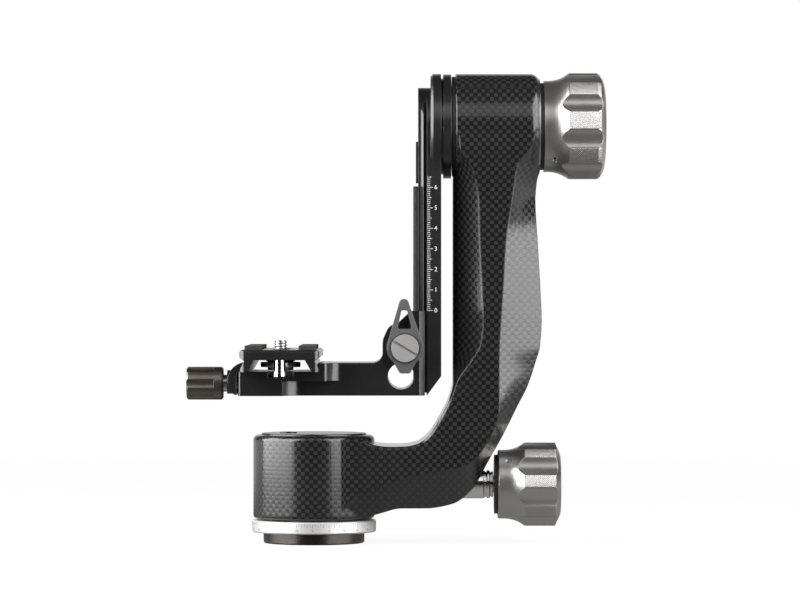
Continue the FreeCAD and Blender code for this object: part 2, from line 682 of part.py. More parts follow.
def cap_screws():
    top = HOUSING_TOP_Z + PAN_CAP_H
    return [screw_z(CAP_SCREW_R, CAP_SCREW_HEAD_R, x, y, cap_screw_tip_z(), top)
            for x, y in cap_screw_places()]


def pan_lock_tube():
    """Black tube bonded in the elbow. The pad slides in its wide end, the screw turns in the rest."""
    pad_end = PAN_PAD_X + PAN_PAD_L + LOCK_TRAVEL + 1
    body = turned_x([(LOCK_TUBE_X, PAN_PAD_R + RUN), (LOCK_TUBE_X, LOCK_TUBE_R),
                     (LOCK_TUBE_STEP_X, LOCK_TUBE_R), (LOCK_TUBE_STEP_X, LOCK_TUBE_R - LOCK_TUBE_STEP),
                     (LOCK_TUBE_END_X, LOCK_TUBE_R - LOCK_TUBE_STEP),
                     (LOCK_TUBE_END_X, PAN_SCREW_R + RUN), (pad_end, PAN_SCREW_R + RUN),
                     (pad_end, PAN_PAD_R + RUN)], PAN_LOCK_Z)
    return body


def pan_brake_pad():
    """Pad with a hollowed face that presses on the spindle."""
    pad = cylinder("x", PAN_PAD_R, SPINDLE_R - 3, PAN_PAD_X + PAN_PAD_L, (0, PAN_LOCK_Z))
    return pad.cut(cylinder("z", PAN_PAD_X, 0, 2 * PAN_LOCK_Z))


def fluted(body, count, radius, flute_r, depth, start, end, z, turn):
    """Cut evenly spaced flutes along X into a knob."""
    cutters = []
    reach = radius - depth + flute_r
    for angle in around(count, turn):
        y, height = reach * math.cos(angle), z + reach * math.sin(angle)
        cutters.append(cylinder("x", flute_r, start, end, (y, height)))
    return body.cut(cutters)


def pan_knob():
    """Silver knob of the pan lock, waisted behind its lobes."""
    x, end = PAN_KNOB_X, PAN_KNOB_X + PAN_KNOB_L
    rim = PAN_KNOB_RIM_CHAMFER
    body = turned_x([(x, 0), (x, PAN_KNOB_NECK_R - rim), (x + rim, PAN_KNOB_NECK_R)]
                    + flare(x, PAN_KNOB_FLARE, PAN_KNOB_NECK_R, PAN_KNOB_R)
                    + [(end - 2.7, PAN_KNOB_R), (end - 0.9, PAN_KNOB_R - 3.4),
                       (end - 0.3, PAN_KNOB_R - 4.8), (end, PAN_KNOB_R - 5.8), (end, 0)], PAN_LOCK_Z)
    body = fluted(body, PAN_KNOB_LOBES, PAN_KNOB_R, PAN_KNOB_FLUTE_R, PAN_KNOB_FLUTE_DEPTH,
                  x + 1, end + 1, PAN_LOCK_Z, PAN_KNOB_TURN)
    body = body.cut(cylinder("x", PAN_SCREW_R, x, pan_screw_end_x(), (0, PAN_LOCK_Z)))
    return body.cut(set_screw_hole(x, PAN_SCREW_R, PAN_KNOB_NECK_R, PAN_LOCK_Z, SET_SCREW_LEAN))


def pan_screw_end_x():
    return PAN_KNOB_X + PAN_KNOB_L - 4


def flare(x, span, neck_r, full_r):
    """Outline of a knob's neck that widens slowly, then fast, into its lobes."""
    start, end = span
    shares = [step / FLARE_STEPS for step in range(FLARE_STEPS + 1)]
    return [(x + start + (end - start) * share, neck_r + (full_r - neck_r) * share ** FLARE_POWER)
            for share in shares]


def set_screw_line(knob_x, bottom_r, z, lean):
    """Foot and direction of a set screw that leans from upright towards the front."""
    direction = Vector(0, -math.sin(lean), math.cos(lean))
    return Vector(knob_x + SET_SCREW_X, 0, z) + direction * bottom_r, direction


def set_screw_hole(knob_x, bottom_r, top_r, z, lean):
    place, direction = set_screw_line(knob_x, bottom_r, z, lean)
    return Part.makeCylinder(SET_SCREW_R, top_r - bottom_r + 2, place, direction)


def knob_set_screw(knob_x, bottom_r, top_r, z, lean):
    """Grub screw with a hexagon socket, sunk a little in the knob's neck."""
    place, direction = set_screw_line(knob_x, bottom_r, z, lean)
    length = top_r - SET_SCREW_SINK - bottom_r
    grub = Part.makeCylinder(SET_SCREW_R, length, place, direction)
    mouth = place + direction * (length - SET_SCREW_SOCKET)
    return grub.cut(Part.makeCylinder(SET_SCREW_R / 2, SET_SCREW_SOCKET, mouth, direction))


def pan_knob_washer():
    return tube("x", PAN_WASHER_R, PAN_SCREW_R, PAN_WASHER_X, PAN_KNOB_X, (0, PAN_LOCK_Z))


def pan_lock_screw():
    return cylinder("x", PAN_SCREW_R, PAN_PAD_X + PAN_PAD_L, pan_screw_end_x(), (0, PAN_LOCK_Z))


def tilt_sleeve():
    seat_r = TILT_AXLE_R + BEARING_DEPTH
    rib_r = seat_r - 1.5
    first, second = TILT_BEARING_X
    return turned_x([(TILT_HOUSING_X, seat_r), (TILT_HOUSING_X, TILT_SLEEVE_R),
                     (TILT_HOUSING_END_X, TILT_SLEEVE_R), (TILT_HOUSING_END_X, seat_r),
                     (second, seat_r), (second, rib_r), (first + BEARING_W, rib_r),
                     (first + BEARING_W, seat_r)], TILT_Z)


def tilt_seal_ring():
    start = TILT_HOUSING_X - TILT_SEAL_T
    return tube("x", TILT_SEAL_R, TILT_AXLE_R + 1, start, TILT_HOUSING_X, (0, TILT_Z))


def tilt_end_plug():
    start = TILT_HOUSING_END_X - TILT_PLUG_L
    return tube("x", TILT_AXLE_R + BEARING_DEPTH, TILT_SCREW_R + RUN, start, TILT_HOUSING_END_X,
                (0, TILT_Z))


def tilt_brake_pad():
    return cylinder("x", TILT_PAD_R, TILT_PAD_X, TILT_PAD_X + TILT_PAD_T, (0, TILT_Z))


def tilt_screw_end_x():
    return TILT_KNOB_X + TILT_KNOB_L - 4


def tilt_knob():
    """Large silver knob of the tilt lock."""
    x, end = TILT_KNOB_X, TILT_KNOB_X + TILT_KNOB_L
    body = turned_x([(x, 0), (x, TILT_KNOB_NECK_R)]
                    + flare(x, TILT_KNOB_FLARE, TILT_KNOB_NECK_R, TILT_KNOB_R)
                    + [(end - 4, TILT_KNOB_R), (end - 2.6, TILT_KNOB_R - 1), (end - 1.2, TILT_KNOB_R - 3),
                       (end - 0.4, TILT_KNOB_R - 5.4), (end, TILT_KNOB_R - 8), (end, 0)], TILT_Z)
    body = fluted(body, TILT_KNOB_LOBES, TILT_KNOB_R, TILT_KNOB_FLUTE_R, TILT_KNOB_FLUTE_DEPTH,
                  x + 1, end + 1, TILT_Z, TILT_KNOB_TURN)
    body = body.cut(cylinder("x", TILT_SCREW_R, x, tilt_screw_end_x(), (0, TILT_Z)))
    return body.cut(set_screw_hole(x, TILT_SCREW_R, TILT_KNOB_NECK_R, TILT_Z, TILT_SET_SCREW_LEAN))


def tilt_knob_washer():
    return tube("x", TILT_WASHER_R, TILT_SCREW_R, TILT_WASHER_X, TILT_KNOB_X, (0, TILT_Z))


def tilt_lock_screw():
    return cylinder("x", TILT_SCREW_R, TILT_PAD_X + TILT_PAD_T, tilt_screw_end_x(), (0, TILT_Z))


def stadium(x0, x1, bottom_z):
    """Bar as wide as the rail with a round top end about the tilt axis."""
    bar = block(x0, x1, -RAIL_HALF_W, RAIL_HALF_W, bottom_z, TILT_Z)
    return joined([bar, cylinder("x", RAIL_HALF_W, x0, x1, (0, TILT_Z))])


def axle_screw_places():
    places = []
    for side in AXLE_SCREW_ANGLES:
        for spread in (-AXLE_SCREW_SPREAD, AXLE_SCREW_SPREAD):
            angle = math.radians(side + spread)
            places.append((AXLE_SCREW_CIRCLE_R * math.cos(angle),
                           TILT_Z + AXLE_SCREW_CIRCLE_R * math.sin(angle)))
    return places


def rail_screw_places():
    low, high = RAIL_BOTTOM_Z + 16, TILT_Z
    step = (high - low) / (RAIL_SCREW_COUNT - 1)
    return [low + step * index for index in range(RAIL_SCREW_COUNT)]


def swing_rail():
    """Rail plate: a round head at the tilt axis and a straight bar that carries the scale."""
    head_x = RAIL_BACK_X - RAIL_HEAD_T
    head = turned_x([(head_x, 0), (head_x, RAIL_HEAD_R - RAIL_HEAD_CHAMFER),
                     (head_x + RAIL_HEAD_CHAMFER, RAIL_HEAD_R), (RAIL_BACK_X, RAIL_HEAD_R),
                     (RAIL_BACK_X, 0)], TILT_Z)
    bar = block(RAIL_FRONT_X, RAIL_BACK_X, -RAIL_HALF_W, RAIL_HALF_W, RAIL_BOTTOM_Z, TILT_Z)
    spine = stadium(RAIL_FRONT_X, head_x, RAIL_BOTTOM_Z)
    body = joined([head, bar, spine])
    toe = plate_xz([(RAIL_FRONT_X, RAIL_BOTTOM_Z), (RAIL_BACK_X + 1, RAIL_BOTTOM_Z - 1),
                    (RAIL_BACK_X + 1, RAIL_BOTTOM_Z + RAIL_TOE + 1), (RAIL_BACK_X, RAIL_BOTTOM_Z + RAIL_TOE)],
                   -RAIL_HALF_W - 1, RAIL_HALF_W + 1)
    body = body.cut(toe)
    for y, z in axle_screw_places():
        body = body.cut(cylinder("x", AXLE_SCREW_R, head_x, RAIL_BACK_X, (y, z)))
        body = body.cut(cylinder("x", AXLE_SCREW_HEAD_R, head_x, head_x + AXLE_SCREW_HEAD_T, (y, z)))
    for z in rail_screw_places():
        body = body.cut(cylinder("x", RAIL_SCREW_R, RAIL_FRONT_X, RAIL_BACK_X - 1, (0, z)))
    return body


def dovetail_outline():
    """Half of the dovetail's section as (x, half width), from its deck to the rail."""
    flank_x = DECK_X + DOVETAIL_DECK_T + DOVETAIL_FLANK
    flare_x = flank_x + DOVETAIL_NECK_W
    groove_x = flare_x + DOVETAIL_FLARE
    neck = RAIL_HALF_W - DOVETAIL_FLANK
    return [(DECK_X, RAIL_HALF_W), (DECK_X + DOVETAIL_DECK_T, RAIL_HALF_W), (flank_x, neck),
            (flare_x, neck), (groove_x, neck + DOVETAIL_FLARE),
            (groove_x, RAIL_HALF_W - DOVETAIL_GROOVE_DEPTH),
            (RAIL_FRONT_X, RAIL_HALF_W - DOVETAIL_GROOVE_DEPTH)]


def rail_dovetail():
    """Dovetail bar with the key channel down its middle."""
    half = dovetail_outline()
    outline = [(x, -y) for x, y in half] + [(x, y) for x, y in half[::-1]]
    bottom = RAIL_BOTTOM_Z + DOVETAIL_BOTTOM_GAP
    bar = plate_xy(outline, bottom, TILT_Z + RAIL_HALF_W + 1)
    bar = bar.common(stadium(DECK_X - 1, RAIL_FRONT_X, bottom))
    bar = bar.cut(block(DECK_X - 1, CHANNEL_X, -RAIL_HALF_W - 1, RAIL_HALF_W + 1,
                        DECK_TOP_Z, TILT_Z + RAIL_HALF_W + 1))
    bar = bar.cut(block(DECK_X - 1, CHANNEL_X, -KEY_CHANNEL_HALF_W, KEY_CHANNEL_HALF_W,
                        bottom - 1, DECK_TOP_Z))
    for z in rail_screw_places():
        bar = bar.cut(rail_screw_blank(z, RAIL_FRONT_X))
    return bar


def rail_screw_blank(z, tip_x):
    """Countersunk screw shape from the channel's floor into the rail."""
    head_h = RAIL_SCREW_HEAD_R - RAIL_SCREW_R
    outline = [(CHANNEL_X, 0), (CHANNEL_X, RAIL_SCREW_HEAD_R), (CHANNEL_X + head_h, RAIL_SCREW_R),
               (tip_x, RAIL_SCREW_R), (tip_x, 0)]
    return turned_x(outline, z)


def hexagon_x(radius, x0, x1, y, z):
    return plate_yz([(y + radius * math.cos(a), z + radius * math.sin(a)) for a in around(6)], x0, x1)


def rail_screws():
    head_h = RAIL_SCREW_HEAD_R - RAIL_SCREW_R
    screws = []
    for z in rail_screw_places():
        socket = hexagon_x(0.55 * RAIL_SCREW_HEAD_R, CHANNEL_X, CHANNEL_X + head_h, 0, z)
        screws.append(rail_screw_blank(z, RAIL_BACK_X - 1).cut(socket))
    return screws


def upper_stop_z():
    return CRADLE_TOP_Z + HEIGHT_TRAVEL + 0.8


def rail_stop():
    """Black block that ends the cradle's travel, and a small one at the bottom of the channel."""
    half = KEY_CHANNEL_HALF_W
    start = upper_stop_z()
    upper = plate_yz([(-half, start, 1), (half, start, 1), (half, start + STOP_L, 3),
                      (-half, start + STOP_L, 3)], CHANNEL_X - STOP_PROUD, CHANNEL_X)
    bottom = RAIL_BOTTOM_Z + DOVETAIL_BOTTOM_GAP
    lower = block(CHANNEL_X - STOP_PROUD, CHANNEL_X, -half, half, bottom, bottom + LOWER_STOP_L)
    return [upper, lower]


def tilt_axle():
    """Axle with the flange that the rail is screwed to."""
    axle = turned_x([(RAIL_BACK_X, 0), (RAIL_BACK_X, TILT_FLANGE_R - 2), (TILT_FLANGE_X, TILT_FLANGE_R - 2),
                     (TILT_FLANGE_X, TILT_FLANGE_R), (TILT_SHOULDER_X, TILT_FLANGE_R),
                     (TILT_SHOULDER_X, TILT_AXLE_R + 2 * GAP), (TILT_BEARING_X[0], TILT_AXLE_R + 2 * GAP),
                     (TILT_BEARING_X[0], TILT_AXLE_R), (TILT_AXLE_END_X, TILT_AXLE_R),
                     (TILT_AXLE_END_X, 0)], TILT_Z)
    for y, z in axle_screw_places():
        axle = axle.cut(cylinder("x", AXLE_SCREW_R, RAIL_BACK_X, TILT_SHOULDER_X - 1, (y, z)))
    return axle


def axle_screws():
    """Cap screws from the rail's head into the axle's flange."""
    head_x = RAIL_BACK_X - RAIL_HEAD_T
    screws = []
    for y, z in axle_screw_places():
        stem = cylinder("x", AXLE_SCREW_R, head_x, TILT_SHOULDER_X - 1, (y, z))
        head = cylinder("x", AXLE_SCREW_HEAD_R, head_x, head_x + AXLE_SCREW_HEAD_T, (y, z))
        socket = hexagon_x(0.55 * AXLE_SCREW_HEAD_R, head_x, head_x + 0.7 * AXLE_SCREW_HEAD_T, y, z)
        screws.append(joined([stem, head]).cut(socket))
    return screws


def tilt_axle_nut():
    start = TILT_BEARING_X[1] + BEARING_W
    return tube("x", TILT_NUT_R, TILT_AXLE_R, start, TILT_AXLE_END_X, (0, TILT_Z))


def cradle_outline():
    """The cradle's upright and beam, seen from the front."""
    left, right = CLAMP_RIGHT_X - 4, HOOK_END_X
    return [(left, CRADLE_BOTTOM_Z), (right, CRADLE_BOTTOM_Z), (right, CRADLE_TOP_Z),
            (LEVER_X + 3, CRADLE_TOP_Z, 1.5), (LEVER_X - 3.6, LEVER_Z + 12.0, 2),
            (CRADLE_UPRIGHT_X + 3, LEVER_Z + 10.6, 5), (CRADLE_UPRIGHT_X, LEVER_Z + 4, 8),
            (CRADLE_UPRIGHT_X, CRADLE_BEAM_TOP_Z, CRADLE_CORNER_ROUND), (left, CRADLE_BEAM_TOP_Z)]


def hook_outline(side):
    """Section of a hook that reaches behind the dovetail's deck. side is -1 in front, 1 behind."""
    deck_end = DECK_X + DOVETAIL_DECK_T
    flank_x = deck_end + DOVETAIL_FLANK
    neck = RAIL_HALF_W - DOVETAIL_FLANK
    wall = CRADLE_HALF_W
    half = [(CRADLE_FACE_X - 2, wall), (CRADLE_FACE_X - 2, RAIL_HALF_W + GAP),
            (deck_end + GAP / 2, RAIL_HALF_W + GAP), (flank_x + GAP / 2, neck + GAP),
            (flank_x + GAP, neck + GAP), (flank_x + 2 * GAP, RAIL_HALF_W + GAP),
            (HOOK_END_X, RAIL_HALF_W + GAP), (HOOK_END_X, wall - HOOK_EDGE_CHAMFER),
            (HOOK_END_X - HOOK_EDGE_CHAMFER, wall)]
    return [(x, side * y) for x, y in half]


def clamp_plan(right_x, fillet, corner_round):
    """Plan of the wide clamp where it narrows to the beam, seen from above."""
    wide, narrow = CLAMP_HALF_W, CRADLE_HALF_W
    far_x = right_x + fillet + corner_round + 4
    return [(CLAMP_LEFT_X, -wide, 1.5), (right_x, -wide, corner_round), (right_x + corner_round, -narrow, fillet),
            (far_x, -narrow), (far_x, narrow), (right_x + corner_round, narrow, fillet),
            (right_x, wide, corner_round), (CLAMP_LEFT_X, wide, 1.5)]


def fixed_jaw():
    """Right-hand jaw of the lens clamp, with its undercut."""
    tip_x = PLATE_X + PLATE_NECK_HALF_W
    foot_x = PLATE_X + PLATE_FOOT_HALF_W
    outline = [(foot_x + JAW_GAP, CLAMP_FLOOR_Z - 1), (foot_x + JAW_GAP, CLAMP_FLOOR_Z + PLATE_FOOT_H),
               (tip_x + JAW_LIP, CRADLE_BEAM_TOP_Z - 0.6), (tip_x + JAW_LIP + 0.5, CRADLE_BEAM_TOP_Z),
               (CLAMP_RIGHT_X + 8, CRADLE_BEAM_TOP_Z), (CLAMP_RIGHT_X + 8, CLAMP_FLOOR_Z - 1)]
    return plate_xz(outline, -CLAMP_HALF_W, CLAMP_HALF_W)


def cradle_solid():
    """L-shaped outer form before its pockets and holes."""
    wall = CRADLE_HALF_W
    frame = plate_xz(cradle_outline(), -wall, wall)
    slab_plan = clamp_plan(CLAMP_RIGHT_X, CLAMP_JAW_FILLET_SHARE * CLAMP_STEP,
                           CLAMP_JAW_ROUND_SHARE * CLAMP_STEP)
    slab = plate_xy(slab_plan, CLAMP_SLAB_Z, CLAMP_FLOOR_Z)
    jaw = fixed_jaw().common(plate_xy(slab_plan, CLAMP_SLAB_Z, CRADLE_BEAM_TOP_Z))
    block_plan = clamp_plan(CLAMP_BLOCK_X, CLAMP_STEP, 0)
    foot = plate_xy(block_plan, CRADLE_BOTTOM_Z, CLAMP_SLAB_Z)
    beam = block(CLAMP_BLOCK_X, CLAMP_RIGHT_X, -wall, wall, CRADLE_BOTTOM_Z, CLAMP_FLOOR_Z)
    floor_cut = block(CLAMP_LEFT_X, PLATE_X + PLATE_FOOT_HALF_W + JAW_GAP, -CLAMP_HALF_W - 1,
                      CLAMP_HALF_W + 1, CLAMP_FLOOR_Z, CRADLE_BEAM_TOP_Z + 1)
    return joined([frame.cut(floor_cut), slab, foot, beam, jaw])


def cradle_bracket():
    """Cradle: lens clamp at one end, height clamp on the dovetail at the other."""
    wall = CRADLE_HALF_W
    body = cradle_solid()
    body = body.cut(block(CRADLE_FACE_X, HOOK_END_X + 1, -wall - 1, wall + 1,
                          CRADLE_BOTTOM_Z - 1, CRADLE_TOP_Z + 1))
    hook = plate_xy(hook_outline(-1), CRADLE_BOTTOM_Z, CRADLE_TOP_Z)
    half_key = KEY_CHANNEL_HALF_W - 1.3 * GAP
    key = block(CRADLE_FACE_X - 2, CHANNEL_X - GAP, -half_key, half_key,
                HEIGHT_JAW_BOTTOM_Z + 0.3, CRADLE_TOP_Z)
    body = joined([body, hook, key])
    body = body.cut(block(HEIGHT_JAW_X - GAP, HOOK_END_X + 1, HEIGHT_JAW_Y, wall + 1,
                          HEIGHT_JAW_BOTTOM_Z, CRADLE_TOP_Z + 1))
    x, z = LIGHTENING_HOLE
    body = body.cut(cylinder("y", LIGHTENING_R, -wall - 1, wall + 1, (x, z)))
    body = body.cut(cylinder("y", LEVER_BOLT_R + RUN, -wall - 1, HEIGHT_JAW_Y + 1, (LEVER_X, LEVER_Z)))
    for place in JAW_PIN_PLACES:
        body = body.cut(cylinder("y", JAW_PIN_R + RUN, HEIGHT_JAW_Y - JAW_PIN_L + JAW_PIN_HOLD - 1, wall + 1, place))
    screw_end = CLAMP_LEFT_X + LENS_SCREW_L
    body = body.cut(cylinder("x", LENS_SCREW_R + RUN, CLAMP_LEFT_X - 1, screw_end, (0, LENS_LOCK_Z)))
    for side in (-1, 1):
        pin_end = CLAMP_LEFT_X + LENS_PIN_L
        body = body.cut(cylinder("x", LENS_PIN_R + RUN, CLAMP_LEFT_X - 1, pin_end,
                                 (side * LENS_PIN_Y, LENS_LOCK_Z)))
        low, high = sorted((side * POCKET_INNER_Y, side * (CLAMP_HALF_W + 1)))
        body = body.cut(block(PLATE_X - POCKET_HALF_W, PLATE_X + POCKET_HALF_W, low, high,
                              CLAMP_FLOOR_Z - POCKET_DEPTH, CLAMP_FLOOR_Z + 1))
    return body


def height_jaw():
    """Rear jaw of the height clamp. The lever's bolt draws it forward."""
    wall = CRADLE_HALF_W
    body = plate_xz(cradle_outline(), HEIGHT_JAW_Y, wall)
    body = body.common(block(HEIGHT_JAW_X, CRADLE_FACE_X, HEIGHT_JAW_Y, wall + 1,
                             HEIGHT_JAW_BOTTOM_Z + GAP, CRADLE_TOP_Z + 1))
    hook = plate_xy(hook_outline(1), HEIGHT_JAW_BOTTOM_Z + GAP, CRADLE_TOP_Z)
    body = joined([body, hook])
    x, z = LIGHTENING_HOLE
    body = body.cut(cylinder("y", LIGHTENING_R, HEIGHT_JAW_Y - 1, wall + 1, (x, z)))
    body = body.cut(cylinder("y", LEVER_BOLT_R + RUN, HEIGHT_JAW_Y - 1, wall - 1, (LEVER_X, LEVER_Z)))
    for place in JAW_PIN_PLACES:
        body = body.cut(cylinder("y", JAW_PIN_R, HEIGHT_JAW_Y - 1, wall - 1, place))
    return body


def height_jaw_pins():
    start = HEIGHT_JAW_Y - JAW_PIN_L + JAW_PIN_HOLD
    return [cylinder("y", JAW_PIN_R, start, CRADLE_HALF_W - 1, place) for place in JAW_PIN_PLACES]


def lever_arm_outline():
    """Straight sides that run tangent from the lever's round to its tip."""
    tip_x, tip_z = LEVER_X + LEVER_TIP_X, LEVER_Z + LEVER_TIP_Z
    reach = math.hypot(LEVER_TIP_X, LEVER_TIP_Z)
    lean = math.atan2(LEVER_TIP_Z, LEVER_TIP_X)
    open_angle = math.acos((LEVER_R - LEVER_TIP_R) / reach)
    sides = []
    for sign in (1, -1):
        angle = lean + sign * open_angle
        sides.append(((LEVER_X + LEVER_R * math.cos(angle), LEVER_Z + LEVER_R * math.sin(angle)),
                      (tip_x + LEVER_TIP_R * math.cos(angle), tip_z + LEVER_TIP_R * math.sin(angle))))
    (low_left, high_left), (low_right, high_right) = sides
    return [low_left, high_left, high_right, low_right, (LEVER_X, LEVER_Z)]


def height_lever():
    """Lever with a tapered arm, a window in it and a short tail."""
    back, front = LEVER_Y, LEVER_Y - LEVER_T
    tip_x, tip_z = LEVER_X + LEVER_TIP_X, LEVER_Z + LEVER_TIP_Z
    disc = cylinder("y", LEVER_R, front, back, (LEVER_X, LEVER_Z))
    tip = cylinder("y", LEVER_TIP_R, front, back, (tip_x, tip_z))
    arm = plate_xz(lever_arm_outline(), front, back)
    tail = plate_xz([(LEVER_X - 5.6, LEVER_Z - 6.8), (LEVER_X - 2.4, LEVER_Z - 12.3, 1.2),
                     (LEVER_X + 2.4, LEVER_Z - 12.3, 1.2), (LEVER_X + 5.6, LEVER_Z - 6.8)], front, back)
    window_low, window_high = LEVER_R + 0.5, LEVER_TIP_Z - LEVER_TIP_R - 0.8
    window = plate_xz([(LEVER_X - 5.5 + LEVER_WALL, LEVER_Z + window_low, 0.9),
                       (LEVER_X + 5.2 - LEVER_WALL, LEVER_Z + window_low, 0.9),
                       (LEVER_X + 1.0, LEVER_Z + window_high, 0.8),
                       (LEVER_X - 1.7, LEVER_Z + window_high, 0.8)], front - 1, back + 1)
    body = joined([disc, tip, arm, tail]).cut(window)
    body = body.cut(tube("y", LEVER_HEAD_R + LEVER_HEAD_GROOVE, LEVER_HEAD_R, front, front + 0.8,
                         (LEVER_X, LEVER_Z)))
    return body.cut(cylinder("y", LEVER_BOLT_R, front - 1, back + 1, (LEVER_X, LEVER_Z)))


def height_lever_washer():
    return tube("y", LEVER_WASHER_R, LEVER_BOLT_R, LEVER_Y, -CRADLE_HALF_W, (LEVER_X, LEVER_Z))


def height_lever_screw():
    """Screw with a wide slotted head. It turns with the lever and is threaded in the rear jaw."""
    face = LEVER_Y - LEVER_T
    top = face - LEVER_HEAD_T
    stem = cylinder("y", LEVER_BOLT_R, face, CRADLE_HALF_W - 2, (LEVER_X, LEVER_Z))
    head = cylinder("y", LEVER_HEAD_R, top, face, (LEVER_X, LEVER_Z))
    slot = block(LEVER_X - LEVER_HEAD_R - 1, LEVER_X + LEVER_HEAD_R + 1, top - 1, top + LEVER_SLOT_DEPTH,
                 LEVER_Z - LEVER_SLOT_W / 2, LEVER_Z + LEVER_SLOT_W / 2)
    slot.rotate(Vector(LEVER_X, 0, LEVER_Z), AXES["y"], LEVER_SLOT_ANGLE)
    return joined([stem, head]).cut(slot)


def lens_jaw():
    """Moving jaw of the lens clamp: a rounded outer face and an undercut lip."""
    face = LENS_JAW_FACE_X
    tip_x = PLATE_X - PLATE_NECK_HALF_W
    foot_x = PLATE_X - PLATE_FOOT_HALF_W
    place = lambda x, z: Vector(x, -CLAMP_HALF_W, z)
    low, high = CRADLE_BOTTOM_Z + 0.5, CRADLE_BEAM_TOP_Z
    corners = [place(face, low), place(face, CLAMP_FLOOR_Z), place(foot_x - JAW_GAP, CLAMP_FLOOR_Z),
               place(foot_x - JAW_GAP, CLAMP_FLOOR_Z + PLATE_FOOT_H), place(tip_x - JAW_LIP, high - 0.6),
               place(tip_x - JAW_LIP - 0.9, high + 0.2)]
    edges = [Part.LineSegment(a, b).toShape() for a, b in zip(corners, corners[1:])]
    middle = place(face - LENS_JAW_T + 0.7, (low + high) / 2)
    edges.append(Part.Arc(corners[-1], middle, place(face - 0.8, low)).toShape())
    edges.append(Part.LineSegment(place(face - 0.8, low), corners[0]).toShape())
    body = Part.Face(Part.Wire(edges)).extrude(Vector(0, 2 * CLAMP_HALF_W, 0))
    boss = cylinder("x", LENS_JAW_BOSS_R, LENS_JAW_BOSS_X, face, (0, LENS_LOCK_Z))
    boss = boss.cut(block(LENS_JAW_BOSS_X - 1, face + 1, -20, 20, 60, low))
    body = joined([body, boss])
    body = body.cut(cylinder("x", LENS_SCREW_R + RUN, LENS_JAW_BOSS_X - 1, face + 1, (0, LENS_LOCK_Z)))
    for side in (-1, 1):
        body = body.cut(cylinder("x", LENS_PIN_R, face - 2.6, face + 1, (side * LENS_PIN_Y, LENS_LOCK_Z)))
    return body


def lens_jaw_pins():
    end = CLAMP_LEFT_X + LENS_PIN_L - 1
    return [cylinder("x", LENS_PIN_R, LENS_JAW_FACE_X - 2.6, end, (side * LENS_PIN_Y, LENS_LOCK_Z))
            for side in (-1, 1)]


def lens_knob_end_x():
    return LENS_JAW_BOSS_X - LENS_COLLAR_L


def lens_clamp_screw():
    """Screw with a shoulder that bears on the moving jaw."""
    end = CLAMP_LEFT_X + LENS_SCREW_L - 1
    inner = lens_knob_end_x() - LENS_KNOB_L + 4
    stem = cylinder("x", LENS_SCREW_R, inner, end, (0, LENS_LOCK_Z))
    shoulder = cylinder("x", LENS_COLLAR_R, lens_knob_end_x(), LENS_JAW_BOSS_X, (0, LENS_LOCK_Z))
    return joined([stem, shoulder])


def lens_clamp_knob():
    """Small lobed knob with a plain rim next to the clamp."""
    end = lens_knob_end_x()
    x = end - LENS_KNOB_L
    body = turned_x([(x, 0), (x, LENS_KNOB_R - 0.8), (x + 0.8, LENS_KNOB_R), (end - 0.8, LENS_KNOB_R),
                     (end, LENS_KNOB_R - 0.8), (end, 0)], LENS_LOCK_Z)
    body = fluted(body, LENS_KNOB_LOBES, LENS_KNOB_R, LENS_KNOB_FLUTE_R, LENS_KNOB_FLUTE_DEPTH,
                  x - 1, end - LENS_KNOB_RIM, LENS_LOCK_Z, 0)
    stem = cylinder("x", LENS_SCREW_R, x + 4, end + 1, (0, LENS_LOCK_Z))
    return body.cut(stem)


def lens_plate():
    """Dovetail plate, open along its underside, with a slot for the camera screw."""
    x, half = PLATE_X, PLATE_L / 2
    deck_low = PLATE_TOP_Z - PLATE_DECK_T
    top_half = PLATE_DECK_HALF_W - PLATE_TOP_CHAMFER
    right = [(PLATE_CHANNEL_FOOT_HALF_W, CLAMP_FLOOR_Z), (PLATE_FOOT_HALF_W, CLAMP_FLOOR_Z),
             (PLATE_FOOT_HALF_W, CLAMP_FLOOR_Z + PLATE_FOOT_H), (PLATE_NECK_HALF_W, deck_low - PLATE_FLANK),
             (PLATE_DECK_HALF_W, deck_low), (PLATE_DECK_HALF_W, PLATE_TOP_Z - PLATE_TOP_CHAMFER),
             (top_half, PLATE_TOP_Z)]
    channel_z = PLATE_TOP_Z - PLATE_CHANNEL_TOP
    outline = [(x + u, z) for u, z in right] + [(x - u, z) for u, z in right[::-1]]
    outline += [(x - PLATE_CHANNEL_HALF_W, channel_z), (x + PLATE_CHANNEL_HALF_W, channel_z)]
    body = plate_xz(outline, -half, half)
    wide = PLATE_DECK_HALF_W
    plan = [(x - wide, -half, PLATE_CORNER_R), (x + wide, -half, PLATE_CORNER_R),
            (x + wide, half, PLATE_CORNER_R), (x - wide, half, PLATE_CORNER_R)]
    body = body.common(plate_xy(plan, CLAMP_FLOOR_Z - 1, PLATE_TOP_Z + 1))
    for side in (-1, 1):
        wedge = [(side * half, PLATE_TOP_Z - PLATE_TOP_CHAMFER), (side * half, PLATE_TOP_Z),
                 (side * (half - PLATE_TOP_CHAMFER), PLATE_TOP_Z)]
        body = body.cut(plate_yz(wedge, x - wide, x + wide))
    slot, end = PLATE_SLOT_HALF_W, PLATE_SLOT_HALF_L
    slot_plan = [(x - slot, -end, slot - 0.01), (x + slot, -end, slot - 0.01),
                 (x + slot, end, slot - 0.01), (x - slot, end, slot - 0.01)]
    body = body.cut(plate_xy(slot_plan, channel_z - 1, PLATE_TOP_Z + 1))
    for side in (-1, 1):
        body = body.cut(strip_blank(side, PLATE_TOP_Z + 1))
        body = body.cut(cylinder("z", STOP_SCREW_STEM_R, channel_z, channel_z + STOP_SCREW_STEM_L,
                                 (x, side * STOP_SCREW_Y)))
    return body


